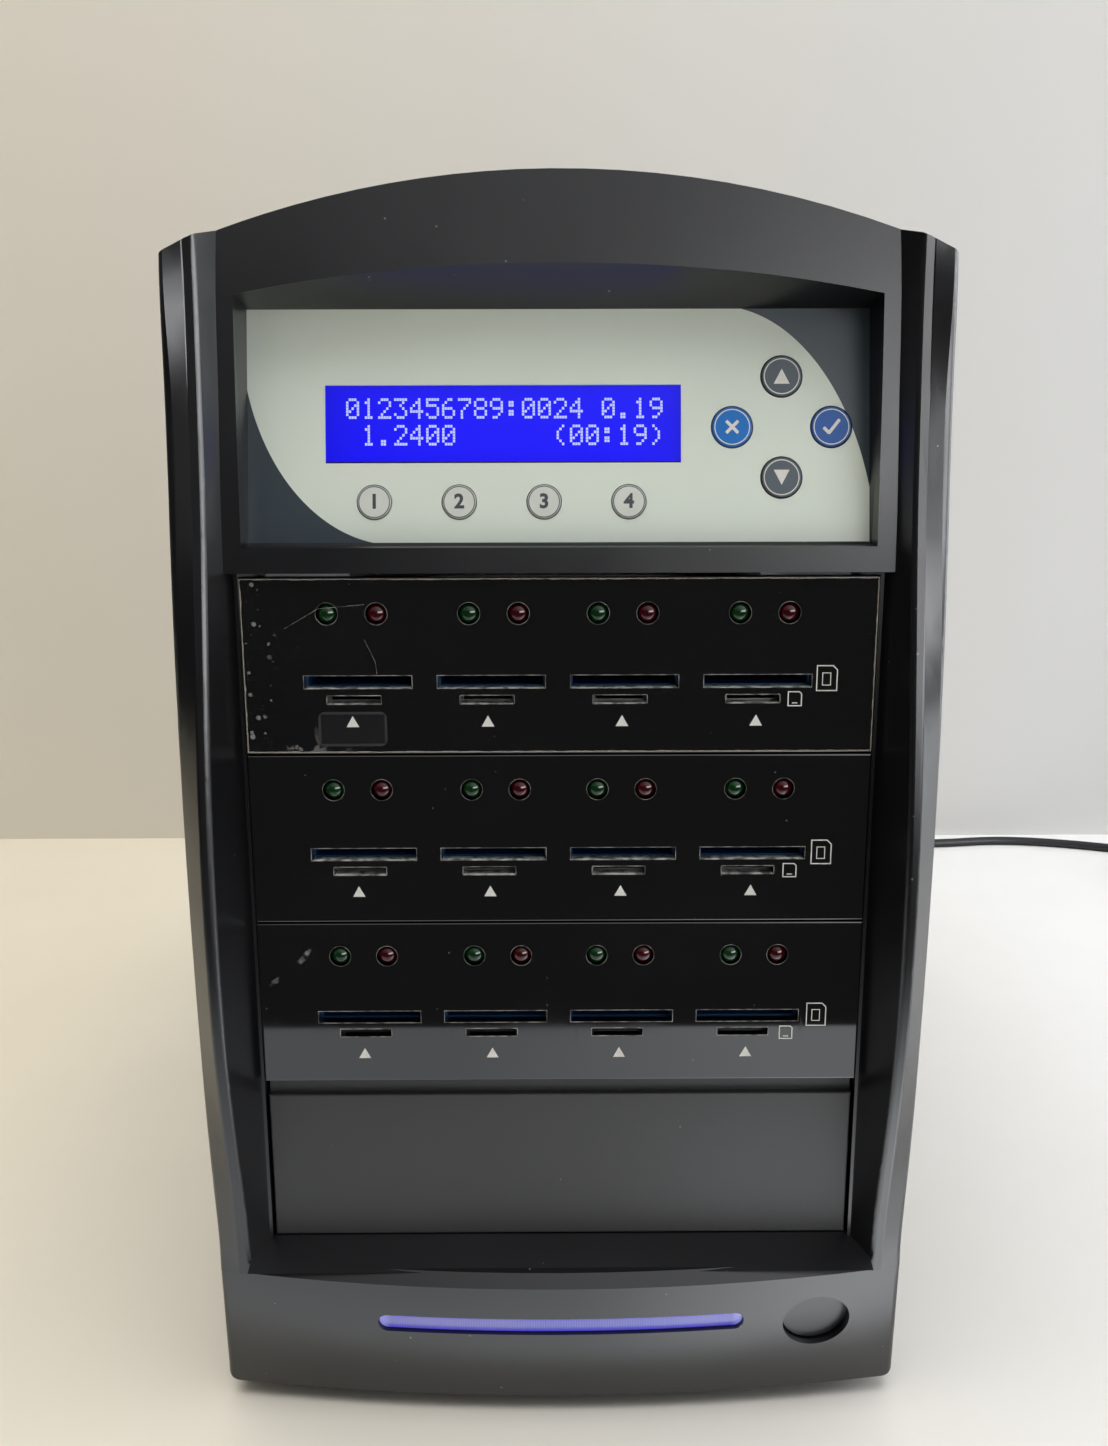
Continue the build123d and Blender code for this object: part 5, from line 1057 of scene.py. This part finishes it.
class COPIER_OT_slot_marks(Step, bpy.types.Operator):
    """Print a triangle under each slot and a card's outline at the end of each row"""

    bl_idname = "copier.slot_marks"
    bl_label = "Slot marks"

    def make(self, colours, sizes):
        thick = sizes.print_thickness
        height = sizes.mark_height
        places = [(x, top - drop, 0.0) for top, drop in zip(PANEL_TOPS, MARK_DROPS) for x in MARK_CENTRES]
        # The first mark is printed on the label
        places[0] = (*places[0][:2], LABEL_OUT + LABEL_THICKNESS)
        width, tall, line = LARGE_CARD_FRAME
        length, stroke = SMALL_CARD_BAR
        marks = stamped(
            (triangle(height * MARK_SHAPE, height, thick), [on_front(*place) for place in places]),
            (self.card(*LARGE_CARD, thick), self.shifted(LARGE_CARD_PLACES)),
            (plate(width * MM, tall * MM, thick, rim=line * MM),
             self.shifted(LARGE_CARD_PLACES, *LARGE_CARD_SHIFT)),
            (self.card(*SMALL_CARD, thick), self.shifted(SMALL_CARD_PLACES)),
            (bar(length * MM, stroke * MM, thick), self.shifted(SMALL_CARD_PLACES, *SMALL_CARD_SHIFT)))
        place_piece("slot_marks", marks, printed("panel_ink", colours.mark))

    def shifted(self, places, across=0.0, up=0.0):
        """Places on the front, all shifted alike."""
        return [on_front(x + across, z + up) for x, z in places]

    def card(self, width, height, cut, thick):
        """A card's outline with its cut corner."""
        return plate(width * MM, height * MM, thick, cut * MM, 1, corners=[3], rim=CARD_LINE * MM)


class COPIER_OT_panel_film(Step, bpy.types.Operator):
    """Lay the clear film, cut out round slots and lamps, and the dark label on the upper card panel"""

    bl_idname = "copier.panel_film"
    bl_label = "Panel film"

    def make(self, colours, sizes):
        film = self.film(sizes.film_thickness)
        place_piece("panel_film", film, film_finish())
        width, height = LABEL_SIZE
        label = plate(width * MM, height * MM, LABEL_THICKNESS * MM, LABEL_CORNER * MM, 6)
        label = stamped((label, [on_front(*LABEL_CENTRE, LABEL_OUT)]))
        place_piece("slot_label", label, label_finish())
        scratches = stamped(*(self.stroke(*ends) for line in FILM_SCRATCHES for ends in zip(line, line[1:])))
        place_piece("film_scratches", scratches, scratch_finish())
        smudges = stamped(*(self.smudge(*smudge) for smudge in PANEL_SMUDGES))
        place_piece("panel_smudges", smudges, smudge_finish())

    def smudge(self, x, z, length, width, turn):
        """A flat patch, and its place."""
        patch = bar(length * MM, width * MM, SMUDGE_THICKNESS * MM, math.radians(turn))
        return patch, [on_front(x, z, SMUDGE_OUT)]

    def stroke(self, start, end):
        """A thin flat stroke, and its place between two points."""
        across, up = end[0] - start[0], end[1] - start[1]
        length = math.hypot(across, up)
        stroke = bar(length * MM, SCRATCH_WIDTH * MM, SCRATCH_THICKNESS * MM, math.atan2(up, across))
        return stroke, [on_front(start[0] + across / 2, start[1] + up / 2, SCRATCH_OUT)]

    def film(self, thickness):
        """A flat curve of the film's outline and its openings, filled and made a mesh."""
        curve = bpy.data.curves.new("film", "CURVE")
        curve.dimensions = "2D"
        curve.fill_mode = "BOTH"
        curve.extrude = thickness / 2
        top = PANEL_TOPS[0]
        self.square_opening(curve, 0.0, top - FILM_DROP, *FILM_SIZE)
        for slot in SLOTS:
            for x in SLOT_CENTRES:
                self.square_opening(curve, x + slot.shift, top - slot.drop, *slot.opening)
        for x in LAMP_CENTRES:
            self.round_opening(curve, x, top - LAMP_DROP, LAMP_OPENING)
        bm = curve_mesh(curve)
        bmesh.ops.transform(bm, matrix=on_front(0.0, 0.0, FILM_OUT + thickness / MM / 2), verts=bm.verts)
        return bm

    def square_opening(self, curve, x, y, width, height):
        spline = curve.splines.new("POLY")
        spline.points.add(3)
        for point, (i, j) in zip(spline.points, ((-1, -1), (1, -1), (1, 1), (-1, 1))):
            point.co = ((x + i * width / 2) * MM, (y + j * height / 2) * MM, 0.0, 1.0)
        spline.use_cyclic_u = True

    def round_opening(self, curve, x, y, radius):
        spline = curve.splines.new("BEZIER")
        spline.bezier_points.add(3)
        for point, (i, j) in zip(spline.bezier_points, ((1, 0), (0, 1), (-1, 0), (0, -1))):
            point.co = ((x + i * radius) * MM, (y + j * radius) * MM, 0.0)
            point.handle_left_type = point.handle_right_type = "AUTO"
        spline.use_cyclic_u = True


def film_finish():
    """Clear film: a frayed bright outline, small bubbles along its left edge and a torn corner."""
    material, place = begin("clear_film", Roughness=0.16, IOR=1.45)
    x, _, z = axes(local(place, (0.0, PANEL_FRONT * MM, (PANEL_TOPS[0] - FILM_DROP) * MM)))
    fray = spread(clouds(place, 380.0, 4.0), -0.30 * MM, 0.30 * MM)
    half_width, half_height = ((size / 2 - edge) * MM for size, edge in zip(FILM_SIZE, FILM_EDGE))
    edge = calc("GREATER_THAN", plus(outside(x, z, half_width, half_height), fray), 0.0)
    left = spread(x, 1.0, 0.0, -71.0 * MM, -65.0 * MM)
    corner = times(spread(x, 1.0, 0.0, -62.0 * MM, -48.0 * MM), spread(z, 1.0, 0.0, -19.5 * MM, -14.0 * MM))
    crowd = spread(clouds(place, 110.0, 3.0), 0.0, 1.0, 0.42, 0.56)
    bubbles = times(specks(place, 620.0, 0.45), calc("MAXIMUM", left, corner), crowd)
    torn = times(spread(clouds(place, 170.0, 4.0), 0.0, 1.0, 0.56, 0.6), corner)
    share = calc("MAXIMUM", times(edge, 0.28), times(bubbles, 0.30))
    return feed(material, Alpha=calc("MAXIMUM", share, times(torn, 0.18)),
                Base_Color=tint(edge, (0.55, 0.53, 0.52), (0.72, 0.66, 0.58)))


def label_finish():
    """Dark label: a smoky gloss that is lighter at its rim."""
    material, place = begin("dark_label", Roughness=0.26)
    x, _, z = axes(local(place, on_front(*LABEL_CENTRE).translation))
    half_width, half_height = ((size / 2 - LABEL_RIM) * MM for size in LABEL_SIZE)
    near = spread(outside(x, z, half_width, half_height), 0.0, 1.0, 0.0, 0.3 * MM)
    smoke = tint(clouds(place, 300.0), (0.009, 0.0095, 0.011), (0.015, 0.015, 0.017))
    return feed(material, Base_Color=tint(near, smoke, (0.045, 0.046, 0.050)))


def scratch_finish():
    """Thin bright line where the film is scored."""
    material, place = begin("film_scratch", Roughness=0.3)
    return feed(material, Alpha=spread(clouds(place, 500.0), 0.10, 0.5, 0.3, 0.7),
                Base_Color=tint(clouds(place, 900.0), (0.42, 0.42, 0.40), (0.62, 0.60, 0.58)))


def smudge_finish():
    """A rubbed mark on the gloss: patches of pale haze."""
    material, place = begin("smudge", Roughness=0.45)
    return feed(material, Alpha=spread(clouds(place, 900.0, 4.0), 0.0, 0.3, 0.42, 0.72),
                Base_Color=tint(clouds(place, 400.0), (0.40, 0.41, 0.42), (0.62, 0.62, 0.62)))


class COPIER_OT_chin(Step, bpy.types.Operator):
    """Light the bar in the chin and finish the power button"""

    bl_idname = "copier.chin"
    bl_label = "Light bar and button"

    def make(self, colours, sizes):
        dress(bar_finish(colours.bar), "light_bar")
        # Painted light: the button is the bezel's black made 2.6 times lighter, standing in for light on it
        # in its shaded recess
        satin = lighter(colours.bezel, 2.6)
        dress(moulded("button_painted_lighter", satin, (0.3, 0.4), 2300.0, 60.0, 0.15, 0.08, IOR=1.62), "power_button")


def bar_finish(colour):
    """Lit clear bar: a soft glow with fine upright ribs and brighter ends."""
    material, place = begin("bar_lit", Roughness=0.25, Emission_Strength=0.55)
    half_width, half_height = BAR_HALF
    x, _, z = axes(local(place, (0.0, 0.0, BAR_MIDDLE * MM), 0.0, (half_width * MM, 1.0, half_height * MM)))
    ribs = wave(place, 480.0, 0.3)
    end = spread(calc("ABSOLUTE", x), 0.0, 0.8, 0.94, 1.0)
    flank = spread(calc("ABSOLUTE", z), 0.0, 0.75, 0.35, 0.95)
    drift = spread(clouds(place, 55.0, 3.0), 0.0, 0.5, 0.35, 0.7)
    glow = shades(times(ribs, 0.35), colour, 0.8, 1.35)
    for share, far in ((drift, (0.20, 0.19, 0.42)), (flank, (0.055, 0.040, 0.60)), (end, (0.35, 0.35, 0.85))):
        glow = tint(share, glow, far)
    return feed(material, Base_Color=glow, Emission_Color=glow, Normal=relief(ribs, 0.2, 0.0001))


# Case, rear and inside

class COPIER_OT_case(Step, bpy.types.Operator):
    """Finish the steel case, its cover, screws and feet"""

    bl_idname = "copier.case"
    bl_label = "Case"

    def make(self, colours, sizes):
        dress(moulded("case_paint", colours.case, (0.47, 0.53), 900.0, 20.0, 0.12, 0.35), "case_cover")
        dress(plated("zinc_sheet", colours.steel, (0.3, 0.46), 120.0), "chassis_frame", "bay_bracket_left",
              "bay_bracket_right", "board_shelf", "supply_case", *numbered("reader_tray"))
        dress(plated("screw_steel", (0.50, 0.50, 0.51), (0.18, 0.32), 700.0), "pan_screws", "cover_screws")
        rubber = moulded("foot_rubber", (0.014, 0.014, 0.015), (0.62, 0.78), 1100.0, 80.0, 0.2, 0.4)
        dress(rubber, "rubber_feet")


class COPIER_OT_rear(Step, bpy.types.Operator):
    """Finish the fan, inlet and rocker at the rear, and print the rocker's on and off signs"""

    bl_idname = "copier.rear"
    bl_label = "Rear"

    def make(self, colours, sizes):
        dress(moulded("fan_plastic", (0.012, 0.012, 0.013), (0.4, 0.52), 1600.0), "fan_frame", "fan_rotor")
        dress(plated("guard_wire", (0.62, 0.62, 0.62), (0.14, 0.26), 500.0), "fan_guard")
        inlet = moulded("inlet_black", (0.010, 0.010, 0.011), (0.36, 0.46), 1900.0)
        dress(inlet, "mains_inlet", "rocker_frame")
        rocker = moulded("rocker_black", (0.012, 0.012, 0.013), (0.22, 0.32), 2300.0, 90.0, 0.1, 0.05)
        dress(rocker, "mains_rocker")
        ink = printed("rocker_ink", colours.mark)
        thick = sizes.print_thickness
        length, width = ON_SIGN
        on_sign = bar(length * MM, width * MM, thick, math.pi / 2)
        place_piece("rocker_on_sign", stamped((on_sign, [on_rocker(1)])), ink, ROCKER_BODY)
        width, height, corner, line = OFF_SIGN
        off_sign = plate(width * MM, height * MM, thick, corner * MM, 8, rim=line * MM)
        place_piece("rocker_off_sign", stamped((off_sign, [on_rocker(-1)])), ink, ROCKER_BODY)


def on_rocker(half):
    """From flat drawing to the upper (1) or lower (-1) face of the rocker, read from behind."""
    out, up = ROCKER_FACE
    face = move(0.0, out + ROCKER_SIGN_OUT, half * up) @ Matrix.Rotation(half * -ROCKER_SLOPE, 4, "X")
    outward = Matrix.Rotation(math.pi, 4, "Z") @ UPRIGHT
    return move(*ROCKER_PIVOT) @ Matrix.Rotation(ROCKER_TILT, 4, "X") @ face @ outward


class COPIER_OT_inside(Step, bpy.types.Operator):
    """Finish the boards, chips, wires and other parts inside"""

    bl_idname = "copier.inside"
    bl_label = "Inside"

    def make(self, colours, sizes):
        dress(board("mask_green", (0.012, 0.10, 0.035)), "lcd_board", "key_board", "controller_board",
              "light_bar_board", *numbered("reader_board"))
        dress(board("board_brown", (0.22, 0.12, 0.05)), "supply_board")
        chips = moulded("chip_epoxy", (0.018, 0.018, 0.019), (0.5, 0.62), 1500.0, 300.0)
        dress(chips, "controller_parts", "key_switches", "power_switch")
        dress(plated("finned_alloy", (0.70, 0.71, 0.72), (0.3, 0.42), 260.0, (1.0, 0.08, 1.0)), "heat_sink")
        dress(plated("post_brass", (0.72, 0.53, 0.24), (0.2, 0.34), 500.0), "standoffs")
        dress(ribbon(), "reader_cables", "panel_cable")
        dress(moulded("wire_jacket", (0.02, 0.012, 0.012), (0.35, 0.45), 2500.0), "wire_leads")


def ribbon():
    """Grey ribbon cable: ribs along its conductors."""
    material, place = begin("ribbon_grey")
    rib = wave(place, 250.0)
    return feed(material, Base_Color=tint(rib, (0.30, 0.31, 0.32), (0.46, 0.47, 0.48)),
                Roughness=spread(rib, 0.4, 0.55), Normal=relief(rib, 0.5, 0.0003))


STEPS = (COPIER_OT_stage, COPIER_OT_mains_cord, COPIER_OT_bezel, COPIER_OT_display_panel, COPIER_OT_keys,
         COPIER_OT_card_panels, COPIER_OT_slot_marks, COPIER_OT_panel_film, COPIER_OT_chin, COPIER_OT_case,
         COPIER_OT_rear, COPIER_OT_inside)


class COPIER_PT_looks(bpy.types.Panel):
    """The steps that give the copier its looks"""

    bl_idname = "COPIER_PT_looks"
    bl_label = "Copier looks"
    bl_space_type = "VIEW_3D"
    bl_region_type = "UI"
    bl_category = "Copier"

    def draw(self, context):
        for step in STEPS:
            self.layout.operator(step.bl_idname)
        for group in (context.scene.copier_sizes, context.scene.copier_colours):
            box = self.layout.box()
            for name in group.__annotations__:
                box.prop(group, name)


CLASSES = (CopierColours, CopierSizes, *STEPS, COPIER_PT_looks)


def register():
    for entry in CLASSES:
        bpy.utils.register_class(entry)
    bpy.types.Scene.copier_colours = PointerProperty(type=CopierColours)
    bpy.types.Scene.copier_sizes = PointerProperty(type=CopierSizes)


def unregister():
    del bpy.types.Scene.copier_sizes
    del bpy.types.Scene.copier_colours
    for entry in reversed(CLASSES):
        bpy.utils.unregister_class(entry)


def main():
    register()
    for step in STEPS:
        area, name = step.bl_idname.split(".")
        getattr(getattr(bpy.ops, area), name)()


if __name__ == "__main__":
    main()
